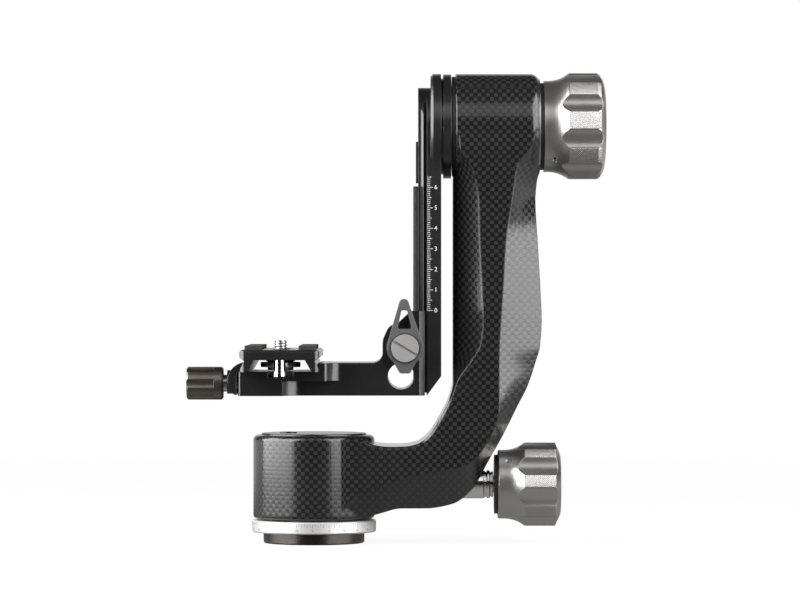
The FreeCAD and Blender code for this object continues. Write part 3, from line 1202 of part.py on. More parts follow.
def strip_blank(side, top_z):
    middle, half = PLATE_X + side * STRIP_X, STRIP_L / 2
    plan = [(middle - STRIP_HALF_W, -half, 1), (middle + STRIP_HALF_W, -half, 1),
            (middle + STRIP_HALF_W, half, 1), (middle - STRIP_HALF_W, half, 1)]
    return plate_xy(plan, PLATE_TOP_Z - STRIP_SEAT, top_z)


def plate_rubber_strips():
    return [strip_blank(side, PLATE_TOP_Z + STRIP_PROUD) for side in (-1, 1)]


def plate_stop_screws():
    channel_z = PLATE_TOP_Z - PLATE_CHANNEL_TOP
    screws = []
    for side in (-1, 1):
        place = (PLATE_X, side * STOP_SCREW_Y)
        head = cylinder("z", STOP_SCREW_R, STOP_SCREW_Z, channel_z, place)
        stem = cylinder("z", STOP_SCREW_STEM_R, channel_z, channel_z + STOP_SCREW_STEM_L, place)
        screws.append(joined([head, stem]))
    return screws


def camera_screw_collar():
    """Collar that keeps the camera screw in the slot."""
    channel_z = PLATE_TOP_Z - PLATE_CHANNEL_TOP
    place = (PLATE_X, CAMERA_SCREW_Y)
    flange = cylinder("z", COLLAR_R, channel_z - COLLAR_T, channel_z, place)
    neck = cylinder("z", COLLAR_NECK_R, channel_z, PLATE_TOP_Z - 0.6, place)
    bore = cylinder("z", CAMERA_SHANK_R + RUN, channel_z - 2, PLATE_TOP_Z, place)
    return joined([flange, neck]).cut(bore)


def camera_screw():
    """Camera screw: thread, broad thumb disc and a hub with a coin slot."""
    channel_z = PLATE_TOP_Z - PLATE_CHANNEL_TOP
    hub_top = channel_z - COLLAR_T
    head_top = CAMERA_HEAD_Z + CAMERA_HEAD_T
    x, y = PLATE_X, CAMERA_SCREW_Y
    body = turned_z([(0, CAMERA_HUB_Z), (CAMERA_HUB_R, CAMERA_HUB_Z), (CAMERA_HUB_R, CAMERA_HEAD_Z),
                     (CAMERA_HEAD_R, CAMERA_HEAD_Z), (CAMERA_HEAD_R, head_top),
                     (CAMERA_HUB_R, head_top), (CAMERA_HUB_R, hub_top), (CAMERA_SHANK_R, hub_top),
                     (CAMERA_SHANK_R, CAMERA_THREAD_Z), (CAMERA_SCREW_R, CAMERA_THREAD_Z),
                     (CAMERA_SCREW_R, CAMERA_SCREW_TOP_Z - 0.6),
                     (CAMERA_SCREW_R - 0.6, CAMERA_SCREW_TOP_Z), (0, CAMERA_SCREW_TOP_Z)], x, y)
    half = CAMERA_SLOT_W / 2
    slot = block(x - CAMERA_HEAD_R, x + CAMERA_HEAD_R, y - half, y + half,
                 CAMERA_HUB_Z, CAMERA_HUB_Z + CAMERA_SLOT_DEPTH)
    return body.cut(slot)


def pan_bearing(piece):
    return [piece("z", SPINDLE_R, start) for start in (PAN_LOWER_BEARING_Z, PAN_UPPER_BEARING_Z)]


def tilt_bearing(piece):
    return [piece("x", TILT_AXLE_R, start, (0, TILT_Z)) for start in TILT_BEARING_X]


def parts():
    """Every node and its solid or solids."""
    return {
        "base_flange": base_flange(),
        "pan_scale_ring": pan_scale_ring(),
        "pan_spindle": pan_spindle(),
        "base_screws": base_screws(),
        "pan_bearing_inner_races": pan_bearing(inner_race),
        "pan_spindle_nut": pan_spindle_nut(),
        "swing_arm": swing_arm(),
        "pan_sleeve": pan_sleeve(),
        "pan_bearing_outer_races": pan_bearing(outer_race),
        "pan_bearing_balls": pan_bearing(balls_and_cage),
        "pan_top_cap": pan_top_cap(),
        "pan_level": pan_level(),
        "cap_screws": cap_screws(),
        "pan_lock_tube": pan_lock_tube(),
        "tilt_sleeve": tilt_sleeve(),
        "tilt_seal_ring": tilt_seal_ring(),
        "tilt_bearing_outer_races": tilt_bearing(outer_race),
        "tilt_bearing_balls": tilt_bearing(balls_and_cage),
        "tilt_end_plug": tilt_end_plug(),
        "pan_brake_pad": pan_brake_pad(),
        "pan_knob": pan_knob(),
        "pan_knob_washer": pan_knob_washer(),
        "pan_lock_screw": pan_lock_screw(),
        "pan_knob_set_screw": knob_set_screw(PAN_KNOB_X, PAN_SCREW_R, PAN_KNOB_NECK_R, PAN_LOCK_Z,
                                              SET_SCREW_LEAN),
        "tilt_brake_pad": tilt_brake_pad(),
        "tilt_knob": tilt_knob(),
        "tilt_knob_washer": tilt_knob_washer(),
        "tilt_lock_screw": tilt_lock_screw(),
        "tilt_knob_set_screw": knob_set_screw(TILT_KNOB_X, TILT_SCREW_R, TILT_KNOB_NECK_R, TILT_Z,
                                               TILT_SET_SCREW_LEAN),
        "swing_rail": swing_rail(),
        "rail_dovetail": rail_dovetail(),
        "rail_stop": rail_stop(),
        "rail_screws": rail_screws(),
        "tilt_axle": tilt_axle(),
        "axle_screws": axle_screws(),
        "tilt_bearing_inner_races": tilt_bearing(inner_race),
        "tilt_axle_nut": tilt_axle_nut(),
        "cradle_bracket": cradle_bracket(),
        "height_jaw": height_jaw(),
        "height_jaw_pins": height_jaw_pins(),
        "height_lever": height_lever(),
        "height_lever_screw": height_lever_screw(),
        "height_lever_washer": height_lever_washer(),
        "lens_jaw": lens_jaw(),
        "lens_jaw_pins": lens_jaw_pins(),
        "lens_clamp_knob": lens_clamp_knob(),
        "lens_clamp_screw": lens_clamp_screw(),
        "lens_plate": lens_plate(),
        "plate_rubber_strips": plate_rubber_strips(),
        "plate_stop_screws": plate_stop_screws(),
        "camera_screw_collar": camera_screw_collar(),
        "camera_screw": camera_screw(),
    }


def main():
    os.makedirs("parts", exist_ok=True)
    for name, shape in parts().items():
        if isinstance(shape, list):
            shape = Part.makeCompound(shape)
        solids = shape.Solids
        whole = Part.makeCompound(solids) if len(solids) > 1 else solids[0]
        print(f"{name}: {len(solids)} solids, {whole.Volume / 1000:.2f} cm3, valid {whole.isValid()}")
        whole.exportStep(f"parts/{name}.step")


main()
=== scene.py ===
"""Looks of a gimbal tripod head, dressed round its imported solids."""

import logging
import math
from dataclasses import dataclass
from enum import Enum
from typing import Any, Iterable

import bpy
from mathutils import Matrix, Vector


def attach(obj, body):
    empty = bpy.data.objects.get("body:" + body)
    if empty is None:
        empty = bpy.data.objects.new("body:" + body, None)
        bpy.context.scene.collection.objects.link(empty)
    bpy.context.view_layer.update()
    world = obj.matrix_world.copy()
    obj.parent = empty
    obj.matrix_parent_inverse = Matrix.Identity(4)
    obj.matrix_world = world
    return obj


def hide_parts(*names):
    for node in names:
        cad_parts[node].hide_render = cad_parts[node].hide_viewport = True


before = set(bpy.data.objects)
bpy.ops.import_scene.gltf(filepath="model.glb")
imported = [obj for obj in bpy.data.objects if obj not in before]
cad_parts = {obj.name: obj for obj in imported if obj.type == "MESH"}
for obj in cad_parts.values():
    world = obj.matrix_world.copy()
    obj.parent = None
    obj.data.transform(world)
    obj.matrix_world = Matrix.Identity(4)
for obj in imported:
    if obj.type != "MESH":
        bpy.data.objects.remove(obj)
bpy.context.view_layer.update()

LOG = logging.getLogger("gimbal_head")
MM = 0.001
Colour = tuple[float, float, float]


class Axis(Enum):
    """The three directions of the row frame."""

    X = 0
    Y = 1
    Z = 2


class Value:
    """A number that varies over a surface, written as an ordinary expression."""

    def __init__(self, shader: "Shader", socket: Any) -> None:
        """Wrap one output socket of a shader's node tree."""
        self.shader = shader
        self.socket = socket

    def _maths(self, operation: str, *others: Any) -> "Value":
        """Add a Math node that takes this value first."""
        return self.shader.maths(operation, self, *others)

    def __add__(self, other: Any) -> "Value":
        """Sum."""
        return self._maths("ADD", other)

    __radd__ = __add__

    def __sub__(self, other: Any) -> "Value":
        """Difference."""
        return self._maths("SUBTRACT", other)

    def __rsub__(self, other: Any) -> "Value":
        """Difference from a number."""
        return self.shader.maths("SUBTRACT", other, self)

    def __mul__(self, other: Any) -> "Value":
        """Product."""
        return self._maths("MULTIPLY", other)

    __rmul__ = __mul__

    def __truediv__(self, other: Any) -> "Value":
        """Quotient."""
        return self._maths("DIVIDE", other)

    def __pow__(self, other: Any) -> "Value":
        """Power."""
        return self._maths("POWER", other)

    def __gt__(self, other: Any) -> "Value":
        """1 where this is greater, else 0."""
        return self._maths("GREATER_THAN", other)

    def __lt__(self, other: Any) -> "Value":
        """1 where this is less, else 0."""
        return self._maths("LESS_THAN", other)

    def __abs__(self) -> "Value":
        """Size without its sign."""
        return self._maths("ABSOLUTE")

    def __mod__(self, other: Any) -> "Value":
        """Remainder that is never negative."""
        return self._maths("FLOORED_MODULO", other)

    def floor(self) -> "Value":
        """Whole number below."""
        return self._maths("FLOOR")

    def sine(self) -> "Value":
        """Sine of this angle in radians."""
        return self._maths("SINE")

    def choose(self, low: Any, high: Any) -> "Value":
        """Blend from low at 0 to high at 1."""
        return low + self * (high - low)


class Shader:
    """Builds one material's node tree."""

    def __init__(self, name: str, world: bool = False) -> None:
        """Start an empty material, or an empty world."""
        self.material = bpy.data.worlds.new(name) if world else bpy.data.materials.new(name)
        self.material.use_nodes = True
        self.tree = self.material.node_tree
        self.tree.nodes.clear()

    def add(self, kind: str, settings: dict[str, Any] | None = None,
            inputs: dict[Any, Any] | None = None) -> Any:
        """Add a node of any type.

        Args:
            kind: Blender's name of the node type.
            settings: Properties, set before the sockets.
            inputs: Values or links by socket name or number.

        Returns:
            The node.
        """
        node = self.tree.nodes.new(kind)
        for name, value in (settings or {}).items():
            setattr(node, name, value)
        for name, value in (inputs or {}).items():
            socket = node.inputs[name]
            if isinstance(value, Value):
                self.tree.links.new(value.socket, socket)
            elif isinstance(value, bpy.types.NodeSocket):
                self.tree.links.new(value, socket)
            else:
                socket.default_value = value
        return node

    def maths(self, operation: str, *values: Any) -> Value:
        """Add a Math node on values or numbers."""
        node = self.add("ShaderNodeMath", {"operation": operation}, dict(enumerate(values)))
        return Value(self, node.outputs[0])

    def place(self) -> list[Value]:
        """X, Y and Z on the piece in millimetres."""
        source = self.add("ShaderNodeTexCoord").outputs["Object"]
        parts = self.add("ShaderNodeSeparateXYZ", inputs={0: source}).outputs
        return [Value(self, part) * 1000.0 for part in parts]

    def facing(self) -> list[Value]:
        """Absolute parts of the surface's own direction."""
        source = self.add("ShaderNodeNewGeometry").outputs["True Normal"]
        parts = self.add("ShaderNodeSeparateXYZ", inputs={0: source}).outputs
        return [abs(Value(self, part)) for part in parts]

    def vector(self, x: Any, y: Any, z: Any) -> Any:
        """Join three values into a vector socket."""
        return self.add("ShaderNodeCombineXYZ", inputs={0: x, 1: y, 2: z}).outputs[0]

    def noise(self, scale: float, detail: float = 2.0, vector: Any = None) -> Value:
        """Noise from 0 to 1. The scale is in cells per metre on plain coordinates."""
        source = vector or self.add("ShaderNodeTexCoord").outputs["Object"]
        node = self.add("ShaderNodeTexNoise",
                        inputs={"Vector": source, "Scale": scale, "Detail": detail})
        return Value(self, node.outputs["Fac"])

    def tint(self, amount: Any, low: Colour, high: Colour) -> Any:
        """Blend two colours by a value."""
        node = self.add("ShaderNodeMix", {"data_type": "RGBA", "clamp_factor": True},
                        {0: amount, 6: (*low, 1.0), 7: (*high, 1.0)})
        return node.outputs[2]

    def bump(self, height: Value, depth_mm: float, edge_mm: float = 0.0) -> Any:
        """Normal from a height of 0 to 1 over a depth, with soft edges of the given radius."""
        inputs = {"Height": height, "Strength": 1.0, "Distance": depth_mm * MM}
        if edge_mm:
            inputs["Normal"] = self.soft_edges(edge_mm)
        return self.add("ShaderNodeBump", inputs=inputs).outputs["Normal"]

    def soft_edges(self, radius_mm: float) -> Any:
        """Normal that rounds sharp edges a little, so that they catch the light."""
        return self.add("ShaderNodeBevel", {"samples": 4}, {"Radius": radius_mm * MM}).outputs[0]

    def finish(self, **sockets: Any) -> bpy.types.Material:
        """Close the tree with a Principled shader.

        Args:
            sockets: Its sockets, with underscores for spaces.

        Returns:
            The material.
        """
        named = {name.replace("_", " "): value for name, value in sockets.items()}
        shader = self.add("ShaderNodeBsdfPrincipled", inputs=named)
        self.add("ShaderNodeOutputMaterial", inputs={"Surface": shader.outputs[0]})
        return self.material


@dataclass(frozen=True)
class CarbonWeave:
    """Plain weave of carbon fibre under a satin coat."""

    cell: float = 2.0
    pan_radius: float = 30.2
    pan_top: float = 53.4
    wrap_radius: float = 29.5
    bump_mm: float = 0.018
    edge_mm: float = 1.1

    def cells(self, shader: Shader, u: Value, v: Value) -> tuple[Value, Value]:
        """Weave on two coordinates.

        Args:
            shader: The tree to add to.
            u: First coordinate in millimetres.
            v: Second coordinate in millimetres.

        Returns:
            Height, and 1 where the upper tow runs along v.
        """
        across, along = u / self.cell, v / self.cell
        upper = (across.floor() + along.floor()) % 2.0
        hump_v = (along % 1.0 * math.pi).sine()
        hump_u = (across % 1.0 * math.pi).sine()
        crown_v = hump_v * (0.7 + 0.3 * hump_u)
        crown_u = hump_u * (0.7 + 0.3 * hump_v)
        return upper.choose(crown_u, crown_v), upper

    def material(self) -> bpy.types.Material:
        """Build the material."""
        shader = Shader("carbon_weave")
        x, y, z = shader.place()
        nx, ny, nz = shader.facing()
        pan_reach = (x * x + y * y) ** 0.5
        round_base = (pan_reach < self.pan_radius) * (z < self.pan_top) * (nz < 0.6)
        turn = shader.maths("ARCTAN2", y, x) * self.wrap_radius
        front = self.cells(shader, x, z)
        side = self.cells(shader, y, z)
        top = self.cells(shader, x, y)
        wrapped = self.cells(shader, turn, z)
        sideways = (nx > ny) * (nx > nz)
        upward = (nz > nx) * (nz > ny)
        height, upper = [
            round_base.choose(upward.choose(sideways.choose(f, s), t), w)
            for f, s, t, w in zip(front, side, top, wrapped)
        ]
        drift = shader.noise(60.0, 2.0)
        fibre = shader.noise(1.0, 1.0, shader.vector(x * 5.0, y * 5.0, z * 5.0))
        # Painted sheen and highlight: the base colour is lighter where the upper tow runs along v
        # and on the tow crowns; the two noises add random tone.
        painted_light_tone = upper * 0.6 + height * 0.2 + fibre * 0.1 + drift * 0.1
        return shader.finish(
            Base_Color=shader.tint(painted_light_tone, (0.001, 0.001, 0.0012), (0.03, 0.03, 0.0293)),
            Roughness=0.16 + upper * 0.1,
            Specular_IOR_Level=0.7,
            Coat_Weight=0.45 - upper * 0.25,
            Coat_Roughness=0.1,
            Normal=shader.bump(height, self.bump_mm, self.edge_mm),
        )


@dataclass(frozen=True)
class Metal:
    """Machined, blasted or anodised metal with soft edges."""

    name: str
    colour: Colour
    roughness: float = 0.35
    metallic: float = 1.0
    grain: float = 0.12
    grain_depth: float = 0.012
    edge: float = 0.25
    turned: Axis | None = None
    centre: tuple[float, float, float] = (0.0, 0.0, 0.0)

    def material(self) -> bpy.types.Material:
        """Build the material."""
        shader = Shader(self.name)
        fine = shader.noise(2600.0, 2.0)
        broad = shader.noise(90.0, 3.0)
        height = fine
        if self.turned is not None:
            height = fine * 0.45 + self.tool_marks(shader) * 0.55
        dark = tuple(channel * (1 - self.grain) for channel in self.colour)
        light = tuple(min(1.0, channel * (1 + self.grain)) for channel in self.colour)
        return shader.finish(
            Base_Color=shader.tint(fine * 0.5 + broad * 0.5, dark, light),
            Metallic=self.metallic,
            Roughness=self.roughness - 0.05 + broad * 0.1,
            Normal=shader.bump(height, self.grain_depth, self.edge),
        )

    def tool_marks(self, shader: Shader) -> Value:
        """Fine rings left by turning about the metal's axis."""
        place = [value - middle for value, middle in zip(shader.place(), self.centre)]
        along = place.pop(self.turned.value)
        reach = (place[0] * place[0] + place[1] * place[1]) ** 0.5
        return shader.noise(1.0, 2.0, shader.vector(along * 9.0, reach * 9.0, 0.0))


@dataclass(frozen=True)
class Rubber:
    """Moulded rubber or matte plastic."""

    name: str
    colour: Colour
    roughness: float = 0.7
    depth: float = 0.04

    def material(self) -> bpy.types.Material:
        """Build the material."""
        shader = Shader(self.name)
        fine = shader.noise(1800.0, 3.0)
        broad = shader.noise(120.0, 2.0)
        dark = tuple(channel * 0.75 for channel in self.colour)
        light = tuple(channel * 1.3 for channel in self.colour)
        return shader.finish(
            Base_Color=shader.tint(fine * 0.4 + broad * 0.6, dark, light),
            Roughness=self.roughness + fine * 0.1,
            Normal=shader.bump(fine, self.depth, 0.2),
        )


@dataclass(frozen=True)
class Ink:
    """Filled or laser-marked line on metal."""

    name: str
    colour: Colour
    roughness: float = 0.5

    def material(self) -> bpy.types.Material:
        """Build the material."""
        shader = Shader(self.name)
        broad = shader.noise(700.0, 2.0)
        dark = tuple(channel * 0.8 for channel in self.colour)
        return shader.finish(
            Base_Color=shader.tint(broad, dark, self.colour),
            Roughness=self.roughness,
            Normal=shader.bump(broad, 0.01),
        )


@dataclass(frozen=True)
class Vial:
    """Yellow-green liquid of a spirit level with its bubble and ring."""

    centre: tuple[float, float] = (-12.5, 0.0)
    bubble: float = 1.1
    ring: float = 1.5

    def material(self) -> bpy.types.Material:
        """Build the material."""
        shader = Shader("level_vial")
        x, y, _ = shader.place()
        across, along = x - self.centre[0], y - self.centre[1]
        reach = (across * across + along * along) ** 0.5
        bubble = reach < self.bubble
        ring = (abs(reach - self.ring) < 0.12) + (reach > 3.3)
        liquid = shader.tint(bubble, (0.42, 0.55, 0.06), (0.75, 0.85, 0.4))
        node = shader.add("ShaderNodeMix", {"data_type": "RGBA", "clamp_factor": True},
                          {0: ring, 6: liquid, 7: (0.02, 0.02, 0.02, 1.0)})
        return shader.finish(Base_Color=node.outputs[2], Roughness=0.12, Coat_Weight=0.6,
                             Normal=shader.soft_edges(0.15))


class Finish(Enum):
    """The head's finishes; the pieces that wear them are listed in NODE_FINISHES."""

    CARBON = CarbonWeave()
    KNOB = Metal("knob_silver", (0.46, 0.45, 0.44), 0.3, 0.92, edge=0.35, turned=Axis.X,
                 centre=(0.0, 0.0, 204.5))
    PAN_KNOB = Metal("pan_knob_silver", (0.46, 0.45, 0.44), 0.3, 0.92, edge=0.35, turned=Axis.X,
                     centre=(0.0, 0.0, 28.65))
    SCALE_RING = Metal("scale_ring_satin", (0.8, 0.785, 0.76), 0.38, 0.6, turned=Axis.Z)
    GUNMETAL = Metal("gunmetal", (0.13, 0.113, 0.1), 0.24, turned=Axis.Z)
    LENS_KNOB = Metal("lens_knob_bronze", (0.2, 0.18, 0.155), 0.34, turned=Axis.X,
                      centre=(0.0, 0.0, 78.3))
    BLACK = Metal("black_anodised", (0.1, 0.1, 0.102), 0.25, metallic=0.9, grain=0.2,
                  grain_depth=0.012, edge=0.4)
    RAIL = Metal("rail_anodised", (0.09, 0.09, 0.09), 0.3, metallic=0.9, grain=0.2,
                 grain_depth=0.012, edge=0.4)
    LEVER = Metal("lever_cast", (0.17, 0.17, 0.172), 0.42, metallic=0.6, grain=0.4,
                  grain_depth=0.05, edge=0.55)
    STEEL = Metal("turned_steel", (0.6, 0.58, 0.55), 0.28)
    SATIN_STEEL = Metal("satin_steel", (0.42, 0.405, 0.385), 0.3, metallic=0.35, turned=Axis.Y,
                        centre=(44.7, 0.0, 95.85))
    POLISHED = Metal("polished_steel", (0.78, 0.78, 0.78), 0.1, grain=0.02, grain_depth=0.002)
    LINER = Metal("liner_aluminium", (0.62, 0.62, 0.63), 0.3)
    RUBBER = Rubber("strip_rubber", (0.022, 0.023, 0.018))
    PLASTIC = Rubber("black_plastic", (0.014, 0.014, 0.014), 0.45, 0.01)
    PAD = Rubber("brake_plastic", (0.7, 0.66, 0.55), 0.5, 0.01)
    WHITE_INK = Ink("scale_ink_white", (0.85, 0.85, 0.84))
    DARK_INK = Ink("scale_ink_dark", (0.2, 0.19, 0.18))
    NICKEL = Metal("lock_tube_nickel", (0.8, 0.79, 0.77), 0.1, grain=0.03, grain_depth=0.004,
                   turned=Axis.X, centre=(0.0, 0.0, 28.65))
    LEVEL = Vial()


NODE_FINISHES: dict[Finish, tuple[str, ...]] = {
    Finish.CARBON: ("swing_arm",),
    Finish.KNOB: ("tilt_knob",),
    Finish.PAN_KNOB: ("pan_knob",),
    Finish.SCALE_RING: ("pan_scale_ring",),
    Finish.GUNMETAL: ("base_flange",),
    Finish.LENS_KNOB: ("lens_clamp_knob",),
    Finish.BLACK: ("pan_top_cap", "cap_screws", "pan_lock_tube", "tilt_axle", "cradle_bracket",
                   "height_jaw", "lens_jaw", "lens_plate"),
    Finish.RAIL: ("swing_rail", "rail_dovetail"),
    Finish.LEVER: ("height_lever",),
    Finish.STEEL: ("base_screws", "pan_bearing_inner_races", "pan_bearing_outer_races",
                   "pan_bearing_balls", "pan_spindle_nut", "tilt_bearing_inner_races",
                   "tilt_bearing_outer_races", "tilt_bearing_balls", "tilt_axle_nut",
                   "pan_lock_screw", "pan_knob_set_screw", "tilt_lock_screw",
                   "tilt_knob_set_screw", "rail_screws", "axle_screws", "height_jaw_pins",
                   "lens_jaw_pins", "lens_clamp_screw", "camera_screw"),
    Finish.SATIN_STEEL: ("height_lever_screw",),
    Finish.POLISHED: ("plate_stop_screws",),
    Finish.LINER: ("pan_spindle", "pan_sleeve", "tilt_sleeve", "tilt_end_plug"),
    Finish.RUBBER: ("plate_rubber_strips",),
    Finish.PLASTIC: ("tilt_seal_ring", "pan_knob_washer", "tilt_knob_washer", "rail_stop",
                     "height_lever_washer", "camera_screw_collar"),
    Finish.PAD: ("pan_brake_pad", "tilt_brake_pad"),
    Finish.LEVEL: ("pan_level",),
}


class Paintbox:
    """Makes each finish once."""

    def __init__(self) -> None:
        """Start with no materials."""
        self.made: dict[Finish, bpy.types.Material] = {}

    def get(self, finish: Finish) -> bpy.types.Material:
        """Material of a finish, built when first asked for."""
        if finish not in self.made:
            self.made[finish] = finish.value.material()
        return self.made[finish]

    def dress(self, piece: bpy.types.Object, finish: Finish) -> None:
        """Put one finish on all of a piece."""
        piece.data.materials.clear()
        piece.data.materials.append(self.get(finish))


class Bench:
    """Modelling steps that all the new pieces share."""

    @staticmethod
    def clear() -> None:
        """Deselect everything."""
        if bpy.context.mode != "OBJECT":
            bpy.ops.object.mode_set(mode="OBJECT")
        bpy.ops.object.select_all(action="DESELECT")

    @staticmethod
    def settle(piece: bpy.types.Object) -> None:
        """Move a piece's place, turn and size into its mesh."""
        piece.data.transform(piece.matrix_world)
        piece.matrix_world = Matrix.Identity(4)

    @classmethod
    def bar(cls, name: str, centre: Vector, size: Vector, bevel_mm: float) -> bpy.types.Object:
        """Bar with bevelled edges.

        Args:
            name: Name of the piece.
            centre: Its middle in metres.
            size: Its three sizes in metres.
            bevel_mm: Width of the bevel.

        Returns:
            The piece, with its place in its mesh.
        """
        cls.clear()
        bpy.ops.mesh.primitive_cube_add(size=1.0, location=(0, 0, 0))
        bar = bpy.context.object
        bar.name = name
        bpy.ops.object.mode_set(mode="EDIT")
        bpy.ops.mesh.select_all(action="SELECT")
        bpy.ops.transform.resize(value=size)
        bpy.ops.mesh.bevel(offset=bevel_mm * MM, segments=1, affect="EDGES")
        bpy.ops.transform.translate(value=centre)
        bpy.ops.object.mode_set(mode="OBJECT")
        cls.settle(bar)
        return bar

    @classmethod
    def turned(cls, name: str, outline: list[tuple[float, float]], centre: Vector,
               axis: Axis = Axis.Z, segments: int = 64) -> bpy.types.Object:
        """Turned piece: a ring of edges extruded step by step along its axis.

        Args:
            name: Name of the piece.
            outline: (radius, distance along the axis) in millimetres. A bored piece's
                outline ends where it starts.
            centre: Where the axis has distance 0, in millimetres.
            axis: Direction of the axis.
            segments: Sides of the ring.

        Returns:
            The piece, with its place in its mesh.
        """
        cls.clear()
        radius, reach = outline[0]
        bpy.ops.mesh.primitive_circle_add(vertices=segments, radius=max(radius, 0.001) * MM,
                                          location=(0, 0, 0))
        piece = bpy.context.object
        piece.name = name
        bpy.ops.object.mode_set(mode="EDIT")
        bpy.ops.mesh.select_all(action="SELECT")
        bpy.ops.transform.translate(value=(0, 0, reach * MM))
        for next_radius, next_reach in outline[1:]:
            bpy.ops.mesh.extrude_edges_move(
                TRANSFORM_OT_translate={"value": (0, 0, (next_reach - reach) * MM)})
            scale = max(next_radius, 0.001) / max(radius, 0.001)
            bpy.ops.transform.resize(value=(scale, scale, 1),
                                     center_override=(0, 0, next_reach * MM))
            radius, reach = next_radius, next_reach
        bpy.ops.mesh.select_all(action="SELECT")
        bpy.ops.mesh.remove_doubles(threshold=0.000004)
        bpy.ops.mesh.normals_make_consistent(inside=False)
        bpy.ops.object.mode_set(mode="OBJECT")
        turn = Matrix.Rotation(math.pi / 2, 4, "Y") if axis is Axis.X else Matrix.Identity(4)
        piece.data.transform(Matrix.Translation(centre * MM) @ turn)
        bpy.ops.object.shade_smooth_by_angle(angle=math.radians(30))
        return piece

    @staticmethod
    def repeat(piece: bpy.types.Object, moves: Iterable[Matrix]) -> list[bpy.types.Object]:
        """Copies of a piece, each with its own mesh.

        Args:
            piece: The piece to copy.
            moves: One transform for each copy.

        Returns:
            The copies.
        """
        copies = []
        for move in moves:
            copy = piece.copy()
            copy.data = piece.data.copy()
            copy.data.transform(move)
            bpy.context.scene.collection.objects.link(copy)
            copies.append(copy)
        return copies

    @classmethod
    def joined(cls, name: str, pieces: list[bpy.types.Object]) -> bpy.types.Object:
        """Join pieces into one under a new name."""
        cls.clear()
        for piece in pieces:
            piece.select_set(True)
        bpy.context.view_layer.objects.active = pieces[0]
        bpy.ops.object.join()
        whole = bpy.context.object
        whole.name = name
        cls.settle(whole)
        return whole

    @classmethod
    def number(cls, text: str, size_mm: float, depth_mm: float) -> bpy.types.Object:
        """Solid figures that stand at the origin and face -Y.

        Args:
            text: The figures.
            size_mm: Height of the type.
            depth_mm: Half of their thickness.

        Returns:
            The figures as a mesh.
        """
        cls.clear()
        bpy.ops.object.text_add(location=(0, 0, 0), rotation=(math.pi / 2, 0, 0))
        figures = bpy.context.object
        figures.data.body = text
        figures.data.size = size_mm * MM
        figures.data.extrude = depth_mm * MM
        figures.data.align_x = "CENTER"
        figures.data.align_y = "CENTER"
        figures.data.resolution_u = 4
        bpy.ops.object.convert(target="MESH")
        figures = bpy.context.object
        bpy.context.view_layer.update()
        cls.settle(figures)
        return figures


@dataclass
class Assembly:
    """One sub-assembly and the finishes that it is dressed with."""

    paint: Paintbox

    def place(self, piece: bpy.types.Object, finish: Finish, body: str, slot: str) -> None:
        """Dress a new piece and let it ride on its body."""
        self.paint.dress(piece, finish)
        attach(piece, body)
        LOG.info("%s rides on %s", piece.name, body)


@dataclass
class PanScale(Assembly):
    """Degree marks round the pan ring."""

    radius: float = 30.5
    top: float = 10.7
    step: float = 2.5
    figure_step: int = 15
    figure_height: float = 7.15
    mark_width: float = 0.14
    mark_bevel: float = 0.008
    figure_size: float = 1.5
    proud: float = 0.03
    lengths: tuple[float, float, float] = (1.2, 1.8, 2.4)

    def build(self) -> None:
        """Make the marks and the figures."""
        depth = 2 * self.proud
        marks = []
        for index in range(int(360 / self.step)):
            angle = index * self.step
            kind = 2 if angle % self.figure_step == 0 else 1 if index % 2 == 0 else 0
            marks.append((angle, self.lengths[kind]))
        pieces = []
        for length in self.lengths:
            centre = Vector((0, -self.radius, self.top - length / 2)) * MM
            size = Vector((self.mark_width, depth, length)) * MM
            bar = Bench.bar("pan_mark", centre, size, self.mark_bevel)
            turns = [Matrix.Rotation(math.radians(angle), 4, "Z")
                     for angle, mark_length in marks if mark_length == length]
            pieces += Bench.repeat(bar, turns)
            bpy.data.objects.remove(bar)
        self.place(Bench.joined("pan_scale_marks", pieces), Finish.DARK_INK, "base",
                   "scale_silver")
        figures = []
        for angle in range(0, 360, self.figure_step):
            figure = Bench.number(str(angle), self.figure_size, self.proud)
            move = Matrix.Translation(Vector((0, -self.radius, self.figure_height)) * MM)
            figure.data.transform(Matrix.Rotation(math.radians(angle), 4, "Z") @ move)
            figures.append(figure)
        self.place(Bench.joined("pan_scale_figures", figures), Finish.DARK_INK, "base",
                   "scale_silver")


@dataclass
class HeightScale(Assembly):
    """Millimetre marks and centimetre figures on the rail's front edge."""

    edge_x: float = 55.4
    face_y: float = -19.0
    zero_z: float = 114.1
    millimetres: int = 65
    mark_height: float = 0.24
    mark_inset: float = 0.15
    mark_bevel: float = 0.008
    proud: float = 0.025
    lengths: tuple[float, float, float] = (1.5, 2.2, 2.8)
    figure_x: float = 59.75
    figure_size: float = 3.0

    def build(self) -> None:
        """Make the marks and the figures."""
        pieces = []
        for kind, length in enumerate(self.lengths):
            middle_x = self.edge_x + self.mark_inset + length / 2
            centre = Vector((middle_x, self.face_y, self.zero_z)) * MM
            size = Vector((length, 2 * self.proud, self.mark_height)) * MM
            bar = Bench.bar("height_mark", centre, size, self.mark_bevel)
            moves = [Matrix.Translation((0, 0, index * MM)) for index in range(self.millimetres + 1)
                     if self.kind(index) == kind]
            pieces += Bench.repeat(bar, moves)
            bpy.data.objects.remove(bar)
        self.place(Bench.joined("height_scale_marks", pieces), Finish.WHITE_INK, "rail",
                   "rail_grey")
        figures = []
        for index in range(self.millimetres // 10 + 1):
            figure = Bench.number(str(index), self.figure_size, self.proud)
            place = Vector((self.figure_x, self.face_y, self.zero_z + 10 * index))
            figure.data.transform(Matrix.Translation(place * MM))
            figures.append(figure)
        self.place(Bench.joined("height_scale_figures", figures), Finish.WHITE_INK, "rail",
                   "rail_grey")

    @staticmethod
    def kind(index: int) -> int:
        """0 for a millimetre, 1 for five, 2 for a centimetre."""
        return 2 if index % 10 == 0 else 1 if index % 5 == 0 else 0


